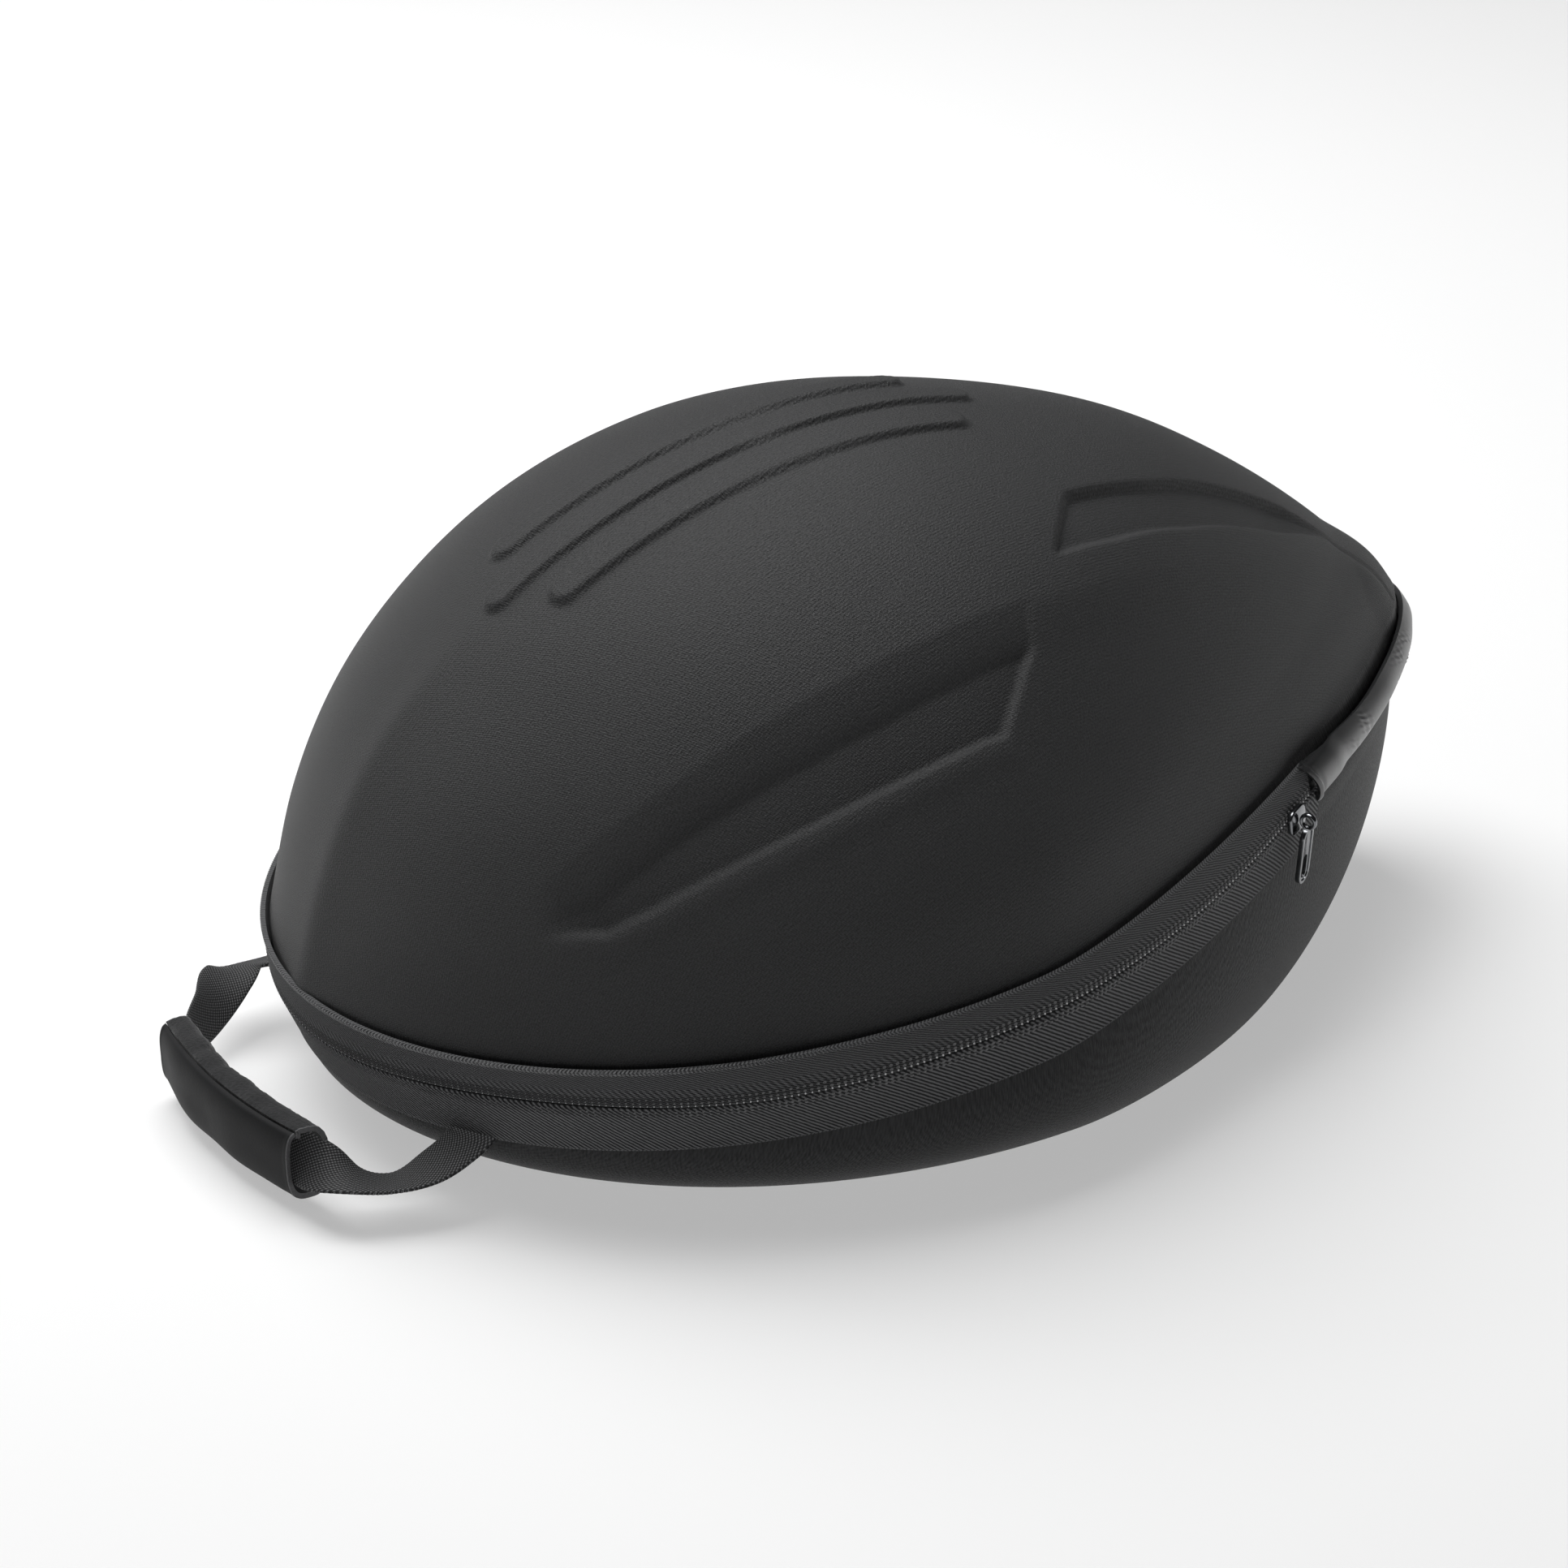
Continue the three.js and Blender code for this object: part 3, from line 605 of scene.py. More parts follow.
def buildUpperShell():
    outer = lid["outerRows"]
    firstInner = outer + len(rimRows) + 1
    rows = firstInner + lid["innerRows"]
    rimInset = tapeInset(lid["rimGap"]) + tape["thick"] + case["gap"]

    def stepAndClimb(v):
        step = np.rint(v * rows)
        climb = np.where(step <= outer, 1 - step / outer, (step - firstInner) / lid["innerRows"])
        return step, held(climb)

    def place(u, v):
        step, climb = stepAndClimb(v)
        angle = u * turn
        points = mouldedLid(angle, climb, np.where(step >= firstInner, case["wall"], 0))
        for k, sink in rimRows:
            rim = zipPoint(angle, lid["rimGap"], rimInset + case["wall"] * sink)
            points = np.where((step == outer + k)[..., None], rim, points)
        return toFloor(points)

    def cloth(u, v):
        step, climb = stepAndClimb(v)
        points = lidPoint(u * turn, climb, 0)
        fall = (1 - climb) * math.pi / 2
        spread = np.where(fall > 1e-6, fall / np.sin(np.maximum(fall, 1e-6)), 1)
        return joined((points[..., 0] - lid["crownAt"]) * spread, points[..., 1] * spread)

    piece = gridPiece("upperShell", lid["columns"], rows, place, cloth)
    inEdit(piece, weld, outwards)
    settled(piece, knitCloth, "upper_shell")


# Lower shell: flat oval base and a wall that bellies out a little
bowl = {
    "reach": 128, "half": 98, "widestAt": 12, "bellyNose": 0.5, "bellySide": 8, "bellyTail": 0,
    "floorStep": 6, "rimGap": 3, "columns": 480, "baseRows": 24, "wallRows": 56, "innerRows": 30,
    "floorRows": 5, "clothRise": 0.8,
}


def bowlPoint(angle, sweep, thick):
    nudge = 0.01
    rimInset = tape["dropInset"] + tape["thick"] + case["gap"] + thick
    rim = toFloor(zipPoint(angle, -tape["drop"], rimInset))
    along = zipPoint(angle + nudge, 0, 0) - zipPoint(angle - nudge, 0, 0)
    outward = unit(joined(along[..., 1], -along[..., 0]))
    step = bowl["floorStep"] * thick / case["wall"]
    reach, half = bowl["reach"] - step, bowl["half"] - step
    footX, footY = ovalPoint(-reach, reach, half, bowl["widestAt"], 2, 2, angle)
    arch = sweep * math.pi / 2
    lift = 1 - np.cos(arch)
    atEnds = np.where(np.cos(angle) < 0, bowl["bellyNose"], bowl["bellyTail"])
    belly = mixed(bowl["bellySide"], atEnds, np.cos(angle) ** 2) * np.sin(math.pi * lift)
    x = mixed(footX, rim[..., 0], np.sin(arch)) + outward[..., 0] * belly
    y = mixed(footY, rim[..., 1], np.sin(arch)) + outward[..., 1] * belly
    return joined(x, y, mixed(thick, rim[..., 2], lift))


def buildLowerShell():
    base, wall = bowl["baseRows"], bowl["wallRows"]
    firstInner = base + wall + len(rimRows) + 1
    lastInner = firstInner + bowl["innerRows"]
    rows = lastInner + bowl["floorRows"]
    rimInset = tapeInset(-bowl["rimGap"]) + tape["thick"] + case["gap"]

    def place(u, v):
        step = np.rint(v * rows)
        angle = u * turn
        hub = np.array([bowl["widestAt"], 0, 0])
        foot = bowlPoint(angle, np.zeros_like(u), np.zeros_like(u))
        points = mixed(hub, foot, held(step / base)[..., None])
        sweep = held((step - base) / wall)
        points = np.where((step > base)[..., None], bowlPoint(angle, sweep, np.zeros_like(u)), points)
        for k, sink in rimRows:
            rim = toFloor(zipPoint(angle, -bowl["rimGap"], rimInset + case["wall"] * sink))
            points = np.where((step == base + wall + k)[..., None], rim, points)
        down = held((step - firstInner) / bowl["innerRows"])
        within = bowlPoint(angle, 1 - down, np.full_like(u, case["wall"]))
        points = np.where((step >= firstInner)[..., None], within, points)
        centre = held((step - lastInner) / bowl["floorRows"])
        floor = mixed(within, hub + np.array([0, 0, case["wall"]]), centre[..., None])
        return np.where((step > lastInner)[..., None], floor, points)

    def cloth(u, v):
        points = place(u, v)
        flat = points[..., :2] - np.array([bowl["widestAt"], 0])
        reach = np.maximum(np.linalg.norm(flat, axis=-1, keepdims=True), 1e-6)
        return flat / reach * (reach + points[..., 2:] * bowl["clothRise"])

    piece = gridPiece("lowerShell", bowl["columns"], rows, place, cloth)
    inEdit(piece, weld, outwards)
    settled(piece, knitCloth, "lower_shell")


buildUpperShell()
buildLowerShell()


# Zip tapes: two strips whose meeting edges roll inwards to a line that their finish darkens with painted
# shade
meeting = {
    "roll": 0.8, "sink": 0.6, "selvedge": 0.25, "selvedgeAt": 0.7, "selvedgeReach": 0.5, "columns": 620,
    "rows": 18, "rowEase": 1.25, "swayMean": 0.33, "sway": 1.08, "swayWave": 150, "swayPhase": 2.72,
    "tuck": 1.1, "tuckRoll": 0.7, "tuckReach": 1.4, "tuckFrom": -150, "tuckTo": -70,
    "inside": (-0.02, 0, 0.06),
}


# How far the line where the tapes meet strays from the true zip line
def lineSway(length):
    phase = turn * length / meeting["swayWave"] + meeting["swayPhase"]
    return meeting["swayMean"] + meeting["sway"] * np.sin(phase)


# How far the upper tape's face leans in towards its top edge
def tapeTuck(rise):
    share = np.clip(rise / tape["rise"], 0, 1.1)
    rolledIn = held((rise - tape["rise"]) / meeting["tuckReach"] + 1)
    return meeting["tuck"] * share ** 2 + meeting["tuckRoll"] * rolledIn ** 2


def tapePoint(length, rise):
    angle = angleAt(length)
    fromLine = np.abs(rise - lineSway(length))
    rolled = meeting["sink"] * (1 - held(fromLine / meeting["roll"])) ** 2
    edge = np.where(rise > 0, tape["rise"], tape["drop"])
    ridge = softPeak(np.abs(rise), edge - meeting["selvedgeAt"], meeting["selvedgeReach"])
    selvedge = meeting["selvedge"] * ridge
    behindNose = blendStep(zipPoint(angle, 0, 0)[..., 0], meeting["tuckFrom"], meeting["tuckTo"])
    return zipPoint(angle, rise, tapeInset(rise) + rolled - selvedge + tapeTuck(rise) * behindNose)


def buildTape(name, node, far, ending, cloth):
    start, end = lengthAt(ending), lengthAt(turn - ending)
    near = math.copysign(case["gap"] / 2, far)

    def place(u, v):
        length = mixed(start, end, u)
        return toFloor(tapePoint(length, mixed(near + lineSway(length), far, v ** meeting["rowEase"])))

    def spread(u, v):
        return joined(mixed(start, end, u), mixed(near, far, v ** meeting["rowEase"]))

    piece = gridPiece(name, meeting["columns"], meeting["rows"], place, spread)
    thickened(piece, meeting["inside"], tape["thick"], True)
    settled(piece, makeTwill(name, cloth), node, smoothAngle=40)


buildTape("zipTapeUpper", "zip_tape_upper", tape["rise"], tape["upperEnd"], upperTwill)
buildTape("zipTapeLower", "zip_tape_lower", -tape["drop"], tape["end"], lowerTwill)

# Rows of stitches that hold the coil to the tapes: rise, pitch, and a stitch's length, height and depth
stitches = (
    ("stitchTop", 2.85, 1.85, 1.1, 0.8, 0.36), ("stitchMid", 1.6, 1.85, 1.1, 0.8, 0.36),
    ("stitchLow", -1.45, 1.85, 1.15, 0.9, 0.25), ("stitchUnder", -2.75, 1.85, 1.1, 0.8, 0.22),
)
# The paler rows also give a stitch's lean and the share of the row that is left bare
paleStitches = (
    ("stitchLine", 0.72, 1.85, 0.62, 0.55, 0.42, 8, 0.0),
    ("stitchBraidTop", 12.0, 1.15, 1.3, 0.5, 0.3, 42, 0.46),
    ("stitchBraidLow", 11.1, 1.15, 1.3, 0.5, 0.3, -42, 0.46),
)
zipThread = {"dark": (0.03, 0.0303, 0.0315), "light": (0.15, 0.1515, 0.155)}
lineThread = {"dark": (0.25, 0.251, 0.255), "light": (0.75, 0.752, 0.76)}
braidThread = {"dark": (0.03, 0.0303, 0.0315), "light": (0.27, 0.272, 0.278)}
stitching = {"margin": 8, "lean": 8, "wobble": 6}
stitchFade = {"small": 0.4, "from": 70, "to": 190, "below": 4}


# Frame on the tapes' outer face: along the zip, up and out of the case
def tapeFrame(length, rise):
    onward, upward = 0.5, 0.2
    lengths, rises = np.array([0, onward, 0]) + length, np.array([0, 0, upward]) + rise
    at, ahead, above = toFloor(tapePoint(lengths, rises))
    along = unit(ahead - at)
    out = unit(np.cross(along, above - at))
    up = np.cross(out, along)
    return at, along, up, out


# The share of the row that is left clear is halved between its ends
def buildStitches(name, rise, pitch, long, high, deep, look, lean, clear):
    print("modelling", name)
    bpy.ops.mesh.primitive_uv_sphere_add(segments=8, ring_count=4, radius=0.5)
    model = named(name)
    inEdit(model, lambda: bpy.ops.transform.resize(value=(long * mm, high * mm, deep * 2 * mm)))
    margin = stitching["margin"]
    start, end = lengthAt(tape["end"]) + margin, lengthAt(turn - tape["end"]) - margin
    start, end = mixed(start, end, clear / 2), mixed(end, start, clear / 2)
    places = []
    for k in range(int((end - start) / pitch)):
        length = start + (k + 0.5) * pitch
        swayed = rise + lineSway(length) * max(0, 1 - abs(rise) / tape["rise"])
        at, along, up, out = tapeFrame(length, swayed)
        spot = Matrix((along, up, out)).transposed().to_4x4()
        spot.translation = Vector(at * mm)
        away = blendStep(abs(length - twill["noseAt"]), stitchFade["from"], stitchFade["to"])
        size = mixed(stitchFade["small"], 1, away if abs(rise) < stitchFade["below"] else 1 - away)
        turned = Matrix.Rotation(math.radians(lean + stitching["wobble"] * (k % 2)), 4, "Z")
        places.append(spot @ turned @ Matrix.Scale(size, 4))
    piece = copiesOf(model, name, places)
    settled(piece, look, None)


threadLook = makeThread("zipThread", **zipThread)
for row in stitches:
    buildStitches(*row, threadLook, stitching["lean"], 0)
lineLook = makeThread("lineThread", **lineThread)
braidLook = makeThread("braidThread", **braidThread)
for *row, lean, clear in paleStitches:
    buildStitches(*row, lineLook if clear == 0 else braidLook, lean, clear)

coil = bpy.data.objects["zip_coil"]
coil.data.materials.clear()
coil.data.materials.append(makeCoil())


# Hinge patch: a soft roll of leatherette over the zip's ends, hemmed and wrinkled where the case bends
patch = {
    "thick": 1.5, "top": 8.5, "topAtEnds": 13.1, "low": -4.5, "lowAtEnds": -1.5, "taper": 0.3, "sink": 1.3,
    "lapFrom": 0.08, "lapTo": 0.14, "roll": 2.7, "endTop": math.radians(49.6), "endLow": math.radians(48),
    "columns": 640, "rows": 52, "hem": 1.0, "hemAt": 0.9, "hemReach": 0.8, "seam": 0.6, "seamAt": 2.7,
    "seamReach": 0.7, "wrinkle": 0.42, "bunches": ((0.47, 0.07, 1), (0.79, 0.055, 0.8)), "swell": 0.14,
    "wide": 13, "clothWide": 14, "inside": (0.05, 0, 0.07),
}
patchSkin = {
    "name": "patchLeatherette", "dark": (0.008, 0.0082, 0.0088), "light": (0.024, 0.0244, 0.0256),
    "gloss": 0.38, "shine": 0.7, "coat": 0.55,
}


def patchPoint(share, across, thick):
    inward = 1 - np.abs(share)
    grown = blendStep(inward, 0, patch["taper"])
    high = mixed(patch["topAtEnds"], patch["top"], grown)
    low = mixed(patch["lowAtEnds"], patch["low"], grown)
    rise = mixed(high, low, across)
    pastTape = patch["sink"] * blendStep(inward, patch["lapFrom"], patch["lapTo"])
    out = case["gap"] - tapeInset(rise) - pastTape + patch["roll"] * np.sin(math.pi * across)
    out = out - tapeTuck(rise) * (1 - grown)
    angle = share * mixed(patch["endTop"], patch["endLow"], across)
    return zipPoint(angle, rise, -out - thick)


def buildHingePatch():
    length = 2 * lengthAt(patch["endTop"])

    def folds(share, across):
        run = share * length / 2
        wide = across * patch["wide"]
        fromEnd = length / 2 - np.abs(run)
        seam = patch["seam"] * softPeak(fromEnd, patch["seamAt"], patch["seamReach"])
        hem = patch["hem"] * (softPeak(fromEnd, patch["hemAt"], patch["hemReach"]) - seam)
        bunch = sum(part * softPeak(np.abs(share), at, reach) for at, reach, part in patch["bunches"])
        bunch = bunch * blendStep(unevenness(run, wide, 11, 5.0), -0.5, 0.5)
        slant = run + 0.9 * (across - 0.5) * patch["wide"] * np.sign(share)
        fine = unevenness(slant, wide * 0.45, 1.9, 2.0)
        slow = patch["swell"] * unevenness(run, wide, 24, 3.0)
        middle = np.sin(math.pi * held(across)) ** 0.7
        return hem + (patch["wrinkle"] * fine * bunch + slow) * middle

    def place(u, v):
        share = 2 * u - 1
        return toFloor(patchPoint(share, v, patch["thick"] + folds(share, v)))

    def cloth(u, v):
        return joined((u - 0.5) * length, v * patch["clothWide"])

    piece = gridPiece("hingePatch", patch["columns"], patch["rows"], place, cloth)
    thickened(piece, patch["inside"], patch["thick"], False)
    settled(piece, makeLeatherette(**patchSkin), "hinge_patch", smoothAngle=50)


buildHingePatch()


# Slider and pull, in the slider's own frame: x along the zip, y up and z out of the case
slider = {
    "angle": math.radians(-51.5), "length": 9.6, "height": 7.6, "thick": 1.6, "round": 2.8, "bevel": 0.5,
    "bridgeLength": 8, "bridgeHeight": 3.6, "bridgeWidth": 1.7, "bridgeSquare": 0.55, "bar": 1.3, "sunk": 0.2,
}
pull = {
    "bore": 1.5, "radius": 2.7, "width": 1.8, "tabWidth": 6.8, "tabLength": 19, "thick": 1.4, "round": 3.3,
    "neck": 2, "lean": math.radians(10), "slotWidth": 3.1, "slotLength": 7.8, "slotFromEnd": 1.7,
    "slotRound": 1.5, "rim": 0.85, "hollow": 0.35, "bevel": 0.24, "cutter": 4,
}


def sliderPlace():
    nudge = 0.01
    angle = np.array([slider["angle"] + turn])
    along = unit(zipPoint(angle + nudge, 0, 0) - zipPoint(angle - nudge, 0, 0))[0]
    out = unit(np.array([along[1], -along[0], 0]))
    up = np.cross(out, along)
    at = zipPoint(angle, 0, 0)
    axes = [toFloor(at + axis)[0] - toFloor(at)[0] for axis in (along, up, out)]
    place = Matrix([list(axis) for axis in axes]).transposed().to_4x4()
    place.translation = Vector(toFloor(at)[0])
    return Matrix.Scale(mm, 4) @ place


# Flat plate about a middle with its upright edges rounded, in millimetres of the slider's frame
def roundPlate(name, middle, width, height, thick, radius):
    bpy.ops.mesh.primitive_cube_add(size=1, location=(0, 0, 0))
    plate = named(name)
    inEdit(plate, lambda: bpy.ops.transform.resize(value=(width, height, thick)))
    for part in [*plate.data.vertices, *plate.data.polygons]:
        part.select = False
    for edge in plate.data.edges:
        low, high = (plate.data.vertices[corner].co for corner in edge.vertices)
        edge.select = abs((high - low).normalized().z) > 0.9
    scene.tool_settings.mesh_select_mode = (False, True, False)
    bpy.ops.object.mode_set(mode="EDIT")
    bpy.ops.mesh.bevel(offset=radius, segments=9, affect="EDGES", clamp_overlap=True)
    bpy.ops.mesh.select_mode(type="VERT")
    bpy.ops.object.mode_set(mode="OBJECT")
    inEdit(plate, lambda: bpy.ops.transform.translate(value=middle))
    return plate


def cutBy(piece, other, operation):
    applied(piece, "BOOLEAN", operation=operation, object=other, solver="EXACT")
    bpy.data.objects.remove(other)


def bevelled(piece, width, segments, sharpest):
    sharp = math.radians(sharpest)
    applied(piece, "BEVEL", width=width, segments=segments, limit_method="ANGLE", angle_limit=sharp)


def putInPlace(piece, place):
    piece.data.transform(place)
    piece.data.update()


def buildSlider():
    print("modelling", "zipSlider")
    face = case["gap"] + slider["thick"]
    middle = (0, 0, case["gap"] + slider["thick"] / 2)
    sides = [slider[side] for side in ("length", "height", "thick", "round")]
    plate = roundPlate("zipSlider", middle, *sides)
    bevelled(plate, slider["bevel"], 3, 50)
    # The bridge is a bar swept over a half loop
    bar, square = slider["bar"], slider["bridgeSquare"]
    loop = slider["bridgeLength"] / 2 - bar / 2
    bpy.ops.mesh.primitive_circle_add(vertices=16, radius=0.5, fill_type="NGON", location=(0, 0, 0))
    bridge = named("bridge")
    inEdit(
        bridge,
        lambda: bpy.ops.transform.resize(value=(bar, slider["bridgeWidth"], 1)),
        lambda: bpy.ops.transform.translate(value=(loop, 0, 0)),
        lambda: bpy.ops.mesh.spin(steps=24, angle=-math.pi, center=(0, 0, 0), axis=(0, 1, 0)),
    )
    high = slider["bridgeHeight"] - bar / 2
    for vertex in bridge.data.vertices:
        lift = vertex.co.z / loop if vertex.co.z > 0 else 0
        away = math.hypot(vertex.co.x, vertex.co.z) - loop
        angle = math.atan2(vertex.co.z, vertex.co.x)
        wide = math.copysign(abs(math.cos(angle)) ** square, math.cos(angle))
        tall = max(0, math.sin(angle)) ** square
        vertex.co.x = wide * (loop + away)
        vertex.co.z = tall * (high + away) + min(lift, 0)
    foot = (0, 0, face - slider["sunk"])
    inEdit(bridge, weld, outwards, lambda: bpy.ops.transform.translate(value=foot))
    cutBy(plate, bridge, "UNION")
    putInPlace(plate, sliderPlace())
    settled(plate, gunmetal, "zip_slider", smoothAngle=40)


def buildPull():
    print("modelling", "zipPull")
    length, width, thick, rim = pull["tabLength"], pull["tabWidth"], pull["thick"], pull["rim"]
    cutter, rounding = pull["cutter"], pull["round"]
    middle = -pull["neck"] - length / 2
    tab = roundPlate("zipPull", (0, middle, 0), width, length, thick, rounding)
    slotMiddle = -pull["neck"] - length + pull["slotFromEnd"] + pull["slotLength"] / 2
    slotSides = pull["slotWidth"], pull["slotLength"], cutter, pull["slotRound"]
    slot = roundPlate("slot", (0, slotMiddle, 0), *slotSides)
    over = thick / 2 - pull["hollow"] + cutter / 2
    inner = roundPlate("hollow", (0, middle, over), width - 2 * rim, length - 2 * rim, cutter, rounding - rim)
    cutBy(tab, inner, "DIFFERENCE")
    cutBy(tab, slot, "DIFFERENCE")
    # The ring that hangs on the bridge
    bar = pull["radius"] - pull["bore"]
    bpy.ops.mesh.primitive_torus_add(
        major_radius=(pull["bore"] + pull["radius"]) / 2, minor_radius=bar / 2, major_segments=40,
        minor_segments=14, rotation=(0, math.pi / 2, 0),
    )
    ring = named("ring")
    bpy.ops.object.transform_apply(location=True, rotation=True, scale=True)
    inEdit(ring, lambda: bpy.ops.transform.resize(value=(pull["width"] / bar, 1, 1)))
    cutBy(tab, ring, "UNION")
    bevelled(tab, pull["bevel"], 2, 55)
    hangs = case["gap"] + slider["thick"] + slider["bridgeHeight"] - slider["bar"] / 2
    swung = Matrix.Translation((0, 0, hangs)) @ Matrix.Rotation(pull["lean"], 4, "X")
    putInPlace(tab, sliderPlace() @ swung)
    settled(tab, gunmetal, "zip_pull", body="pull", smoothAngle=40)


buildSlider()
buildPull()


# Grip: an open flattened sleeve, bowed a little outwards
grip = {
    "halfLength": 38.5, "slid": 2.5, "at": -207.7, "skew": 1.7, "bow": 4.4, "centreZ": 14.9,
    "halfHeight": 11.3, "halfThick": 6.5, "wall": 1.5, "squareness": 3, "panelFrom": 118, "panelTo": 302,
    "wrapFrom": -66, "wrapTo": 124, "columns": 150, "rows": 70, "taper": 0.1, "taperFrom": 0.55,
    "taperTo": 1.05, "cutEdge": (0.16, 0.16, 0.165, 1), "girth": 30, "sag": 0.35,
    "folds": ((0.42, 0.035, 1.3), (0.14, 0.04, 1.1)), "tuck": 1.75, "tuckFrom": (111, 116), "tuckTo": 119,
    "lowTuckFrom": 50, "lowTuckTo": 54,
    "inside": (-0.2095, 0.0025, 0.0149),
}
gripSkin = {
    "name": "gripLeatherette", "dark": (0.005, 0.0051, 0.0056), "light": (0.014, 0.0143, 0.0152),
    "gloss": 0.6, "shine": 0.22, "coat": 0.0,
}


def gripCentre(share):
    x = grip["at"] - grip["skew"] * share - grip["bow"] * (1 - share ** 2)
    y = grip["slid"] + share * grip["halfLength"]
    return joined(x, y, np.full_like(share, grip["centreZ"]))


def sleevePoint(share, angle, inset):
    power = 2 / grip["squareness"]
    c, s = np.cos(angle), np.sin(angle)
    centre = gripCentre(share)
    taper = 1 - grip["taper"] * blendStep(share, grip["taperFrom"], grip["taperTo"])
    x = centre[..., 0] + (grip["halfThick"] * taper - inset) * np.sign(c) * np.abs(c) ** power
    z = centre[..., 2] + (grip["halfHeight"] * taper - inset) * np.sign(s) * np.abs(s) ** power
    return joined(x, centre[..., 1], z)


# The angle at each share of the way round the sleeve, evened by length, and the length round
def sleeveAngles(low, high):
    angles = np.radians(np.linspace(low, high, 2001))
    line = sleevePoint(np.zeros_like(angles), angles, 0)
    lengths = lengthsAlong(line)
    return lambda v: np.interp(v * lengths[-1], lengths, angles), lengths[-1]


def buildSleeve(name, node, low, high, dents, material, slotName):
    angleAround, around = sleeveAngles(low, high)

    def place(u, v):
        share = 2 * u - 1
        angle = angleAround(v)
        return sleevePoint(share, angle, dents(share, angle, v))

    def cloth(u, v):
        return joined((u - 0.5) * 2 * grip["halfLength"], v * around)

    piece = gridPiece(name, grip["columns"], grip["rows"], place, cloth)
    thickened(piece, grip["inside"], grip["wall"], False)
    settled(piece, material, node, smoothAngle=50)


def panelDents(share, angle, v):
    length = share * grip["halfLength"]
    sag = grip["sag"] * unevenness(length, v * grip["girth"], 34, 4.0)
    hem = 0.3 * softPeak(v, 0.0, 0.03) - 0.2 * softPeak(np.abs(share), 0.985, 0.02)
    return 0.2 + sag * np.sin(math.pi * v) + hem


def wrapDents(share, angle, v):
    length = share * grip["halfLength"]
    top = softPeak(angle, math.radians(45), 0.55)
    folds = sum(deep * softPeak(share, at, reach) for at, reach, deep in grip["folds"])
    around = v * grip["girth"]
    nap = 0.1 * unevenness(length, around, 1.7, 6.0) + 0.25 * unevenness(length, around, 13, 1.0)
    dip = np.radians(mixed(*grip["tuckFrom"], blendStep(share, 0.6, 0.9)))
    tucked = blendStep(angle, dip, math.radians(grip["tuckTo"]))
    tucked = tucked + blendStep(-angle, math.radians(grip["lowTuckFrom"]), math.radians(grip["lowTuckTo"]))
    return 0.25 + folds * top + nap + grip["tuck"] * tucked


smooth = makeLeatherette(**gripSkin)
panelEnds = grip["panelFrom"], grip["panelTo"]
wrapEnds = grip["wrapFrom"], grip["wrapTo"]
buildSleeve("gripPanel", "handle_grip_panel", *panelEnds, panelDents, smooth, "leatherette")
buildSleeve("gripWrap", "handle_grip_wrap", *wrapEnds, wrapDents, makeLoop(), "brushed_loop")


# Carry strap from the near seam through the grip to the far seam
strap = {
    "width": 15, "thick": 1.5, "seamDrop": -1.6, "seamSunk": 0.9,
    "nearSeam": {"angle": 206, "out": 4.9, "down": 2.5, "turns": (0, 5)},
    "farSeam": {"angle": 148, "out": 5.6, "down": 4.2, "turns": (180, 193)},
    "near": ((-178, -55.8, 15, 6), (-189.5, -52.3, 11.3, -10), (-200.5, -46, 13.5, 6)),
    "far": ((-174, 70, 18.2, 200), (-182, 65, 19.2, 162), (-193.3, 54.5, 16.4, 115)),
    "inGrip": ((-0.97, 0.4, 56), (-0.45, 2.5, 80), (0, 3, 90), (0.5, 3, 90), (0.97, 3, 90)),
    "pitch": 0.62, "stretch": 1.15, "sharpness": 0.7, "relief": 0.2, "edgeRound": 14,
    "columns": 760, "rows": 112,
}


# A strap end in its seam and the stop where it leaves it, each with its turn about the strap's run
def seamStops(seam):
    angle = np.array([math.radians(seam["angle"])])
    drop = -tape["drop"] - strap["seamDrop"]
    end = toFloor(zipPoint(angle, drop, tape["dropInset"] + tape["thick"] + strap["seamSunk"]))[0]
    outer = toFloor(zipPoint(angle, drop, 0))[0] - end
    outer[2] = 0
    lead = end + unit(outer) * seam["out"] - np.array([0, 0, seam["down"]])
    return [[*end, seam["turns"][0]], [*lead, seam["turns"][1]]]


def strapStops():
    inside = []
    for share, aside, lean in strap["inGrip"]:
        x, y, z = gripCentre(np.array([share]))[0]
        inside.append([x + aside, y, z, lean])
    near = seamStops(strap["nearSeam"]) + [list(stop) for stop in strap["near"]]
    far = seamStops(strap["farSeam"]) + [list(stop) for stop in strap["far"]]
    return np.array(near + inside + far[::-1])


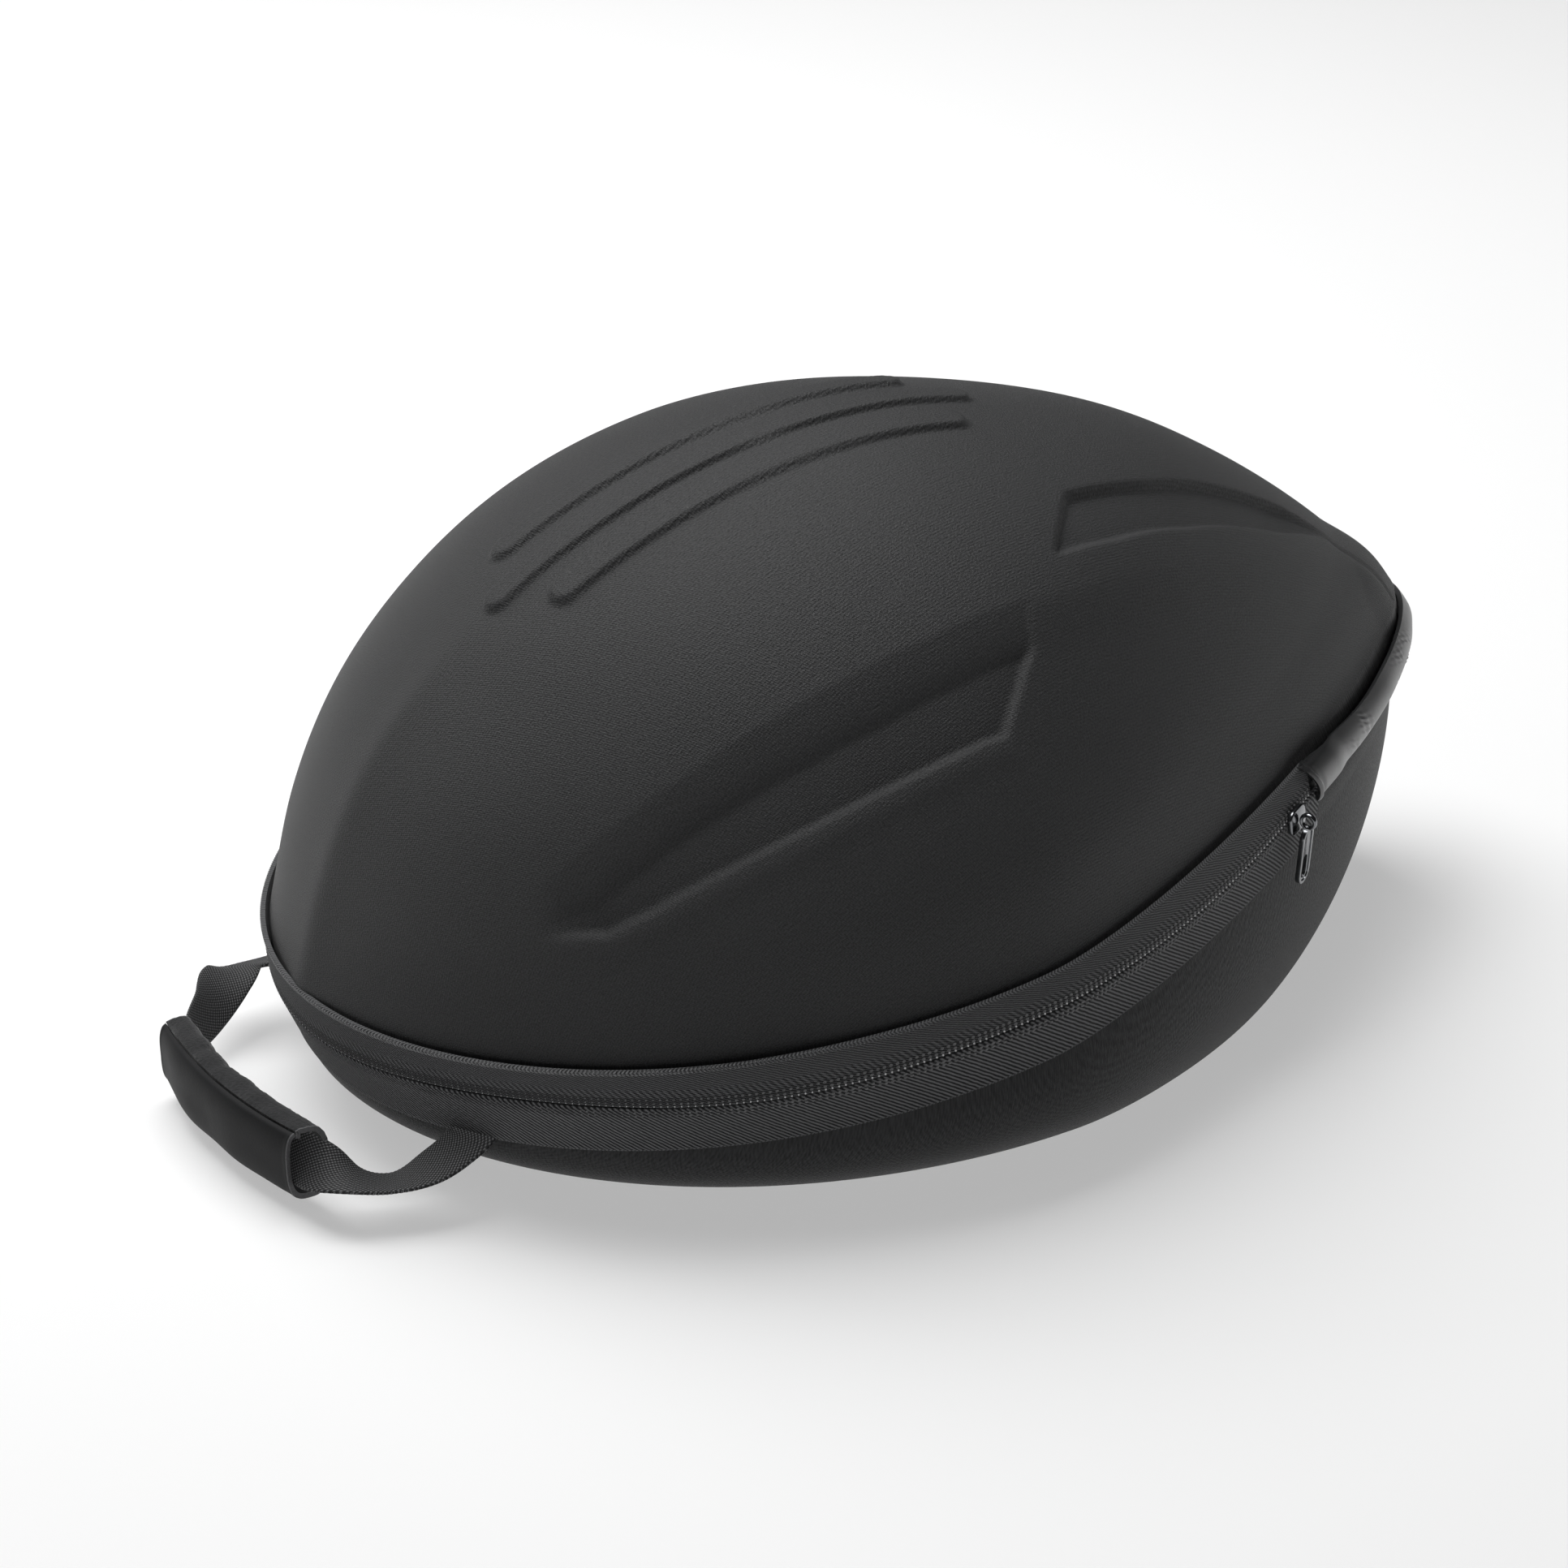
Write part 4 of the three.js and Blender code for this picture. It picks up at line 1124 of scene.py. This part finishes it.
def buildStrap():
    nudge = 0.002
    stops = strapStops()
    fine = np.linspace(0, 1, 4001)
    line = runThrough(stops[:, :3], fine, timed=True)
    lengths = lengthsAlong(line)
    whole = lengths[-1]

    def weave(length, side):
        turns = math.pi / strap["pitch"]
        over = np.cos(turns * length) * np.cos(turns * side * strap["stretch"])
        return np.sign(over) * np.abs(over) ** strap["sharpness"]

    # Once round the strap: its upper face on the way out and its lower face on the way back
    def sides(v):
        return 1 - np.abs(2 * v - 1), np.where(v < 0.5, 1, -1)

    def place(u, v):
        share = np.interp(u * whole, lengths, fine)
        onward, back = np.minimum(share + nudge, 1), np.maximum(share - nudge, 0)
        centre, ahead, behind = (runThrough(stops[:, :3], spot, timed=True) for spot in (share, onward, back))
        along = unit(ahead - behind)
        side = unit(joined(along[..., 1], -along[..., 0], np.zeros_like(u)))
        upward = np.cross(side, along)
        lean = np.radians(runThrough(stops[:, 3:], share)[..., 0])[..., None]
        across = side * np.cos(lean) + upward * np.sin(lean)
        face = np.cross(along, across)
        step, facing = sides(v)
        wide = (step - 0.5) * strap["width"]
        closing = np.sqrt(1 - np.abs(2 * step - 1) ** strap["edgeRound"])
        high = (strap["thick"] / 2 - strap["relief"] / 2) * closing
        high = high + strap["relief"] / 2 * weave(u * whole, wide) * facing * closing
        return centre + across * wide[..., None] + face * (high * facing)[..., None]

    def cloth(u, v):
        return joined(u * whole, (sides(v)[0] - 0.5) * strap["width"])

    piece = gridPiece("handleStrap", strap["columns"], strap["rows"], place, cloth)
    flat = valuesOf(piece.data.uv_layers.active.data, "uv", 2)
    corners = valuesOf(piece.data.loops, "vertex_index", 1, np.int32)
    # Heights of the weave's crossings, which the webbing finish turns into a painted highlight
    heights = np.zeros(len(piece.data.vertices))
    heights[corners] = weave(flat[0::2] / mm, flat[1::2] / mm) * 0.5 + 0.5
    under = np.arange(len(heights)) // (strap["columns"] + 1) > strap["rows"] / 2
    heights = np.where(under, 1 - heights, heights)
    paintedGlintHeight = piece.data.attributes.new("paintedGlintHeight", "FLOAT", "POINT")
    paintedGlintHeight.data.foreach_set("value", heights)
    inEdit(piece, weld, lambda: bpy.ops.mesh.fill_holes(sides=0), outwards)
    settled(piece, makeWebbing(), "handle_webbing", smoothAngle=70)


buildStrap()
print("pieces made")


# Floor, light and camera
stage = {"floor": 12, "dark": (0.9, 0.9, 0.9), "light": (0.91, 0.91, 0.91), "world": 0.03}
lamps = (
    ("softbox", "AREA", 15, 1.2, (-60, 560, 1300), True),
    ("backLight", "AREA", 3.2, 0.9, (-560, 1300, 700), True),
    ("fillLight", "SUN", 1.55, math.radians(40), (0, 60, 990), False),
)
shot = {
    "place": (-671.28, -1050.15, 665.1), "azimuth": -31.32, "elevation": 25.8, "lens": 107.87, "sensor": 36,
    "near": 0.05,
}


def buildStage():
    print("modelling", "floor")
    bpy.ops.mesh.primitive_plane_add(size=stage["floor"])
    floor = named("floor")
    look = Finish("paleFloor", Roughness=0.9)
    shade = look.noise(look.objectPlace(), 1.5, 2.0)
    look.feed(Base_Color=look.tint(shade, stage["dark"], stage["light"]))
    floor.data.materials.append(look.material)
    world = scene.world or bpy.data.worlds.new("studio")
    scene.world = world
    world.use_nodes = True
    sky = world.node_tree.nodes["Background"]
    sky.inputs["Color"].default_value = (1, 1, 1, 1)
    sky.inputs["Strength"].default_value = stage["world"]
    for name, kind, energy, spread, place, shadow in lamps:
        bpy.ops.object.light_add(type=kind, location=Vector(place) * mm)
        lamp = bpy.context.object
        lamp.name = name
        lamp.data.energy = energy
        lamp.data.use_shadow = shadow
        setattr(lamp.data, "angle" if kind == "SUN" else "size", spread)
        lamp.rotation_euler = Vector(place).to_track_quat("Z", "Y").to_euler()


def buildCamera():
    bpy.ops.object.camera_add()
    camera = bpy.context.object
    camera.name = "photoCamera"
    camera.location = Vector(shot["place"]) * mm
    camera.rotation_euler = (math.radians(90 - shot["elevation"]), 0, math.radians(shot["azimuth"]))
    camera.data.lens = shot["lens"]
    camera.data.sensor_width = shot["sensor"]
    camera.data.clip_start = shot["near"]
    camera.data.dof.use_dof = False
    scene.camera = camera


buildStage()
buildCamera()
scene.view_settings.view_transform = "Standard"
scene.view_settings.look = "None"
print("stage and camera made")
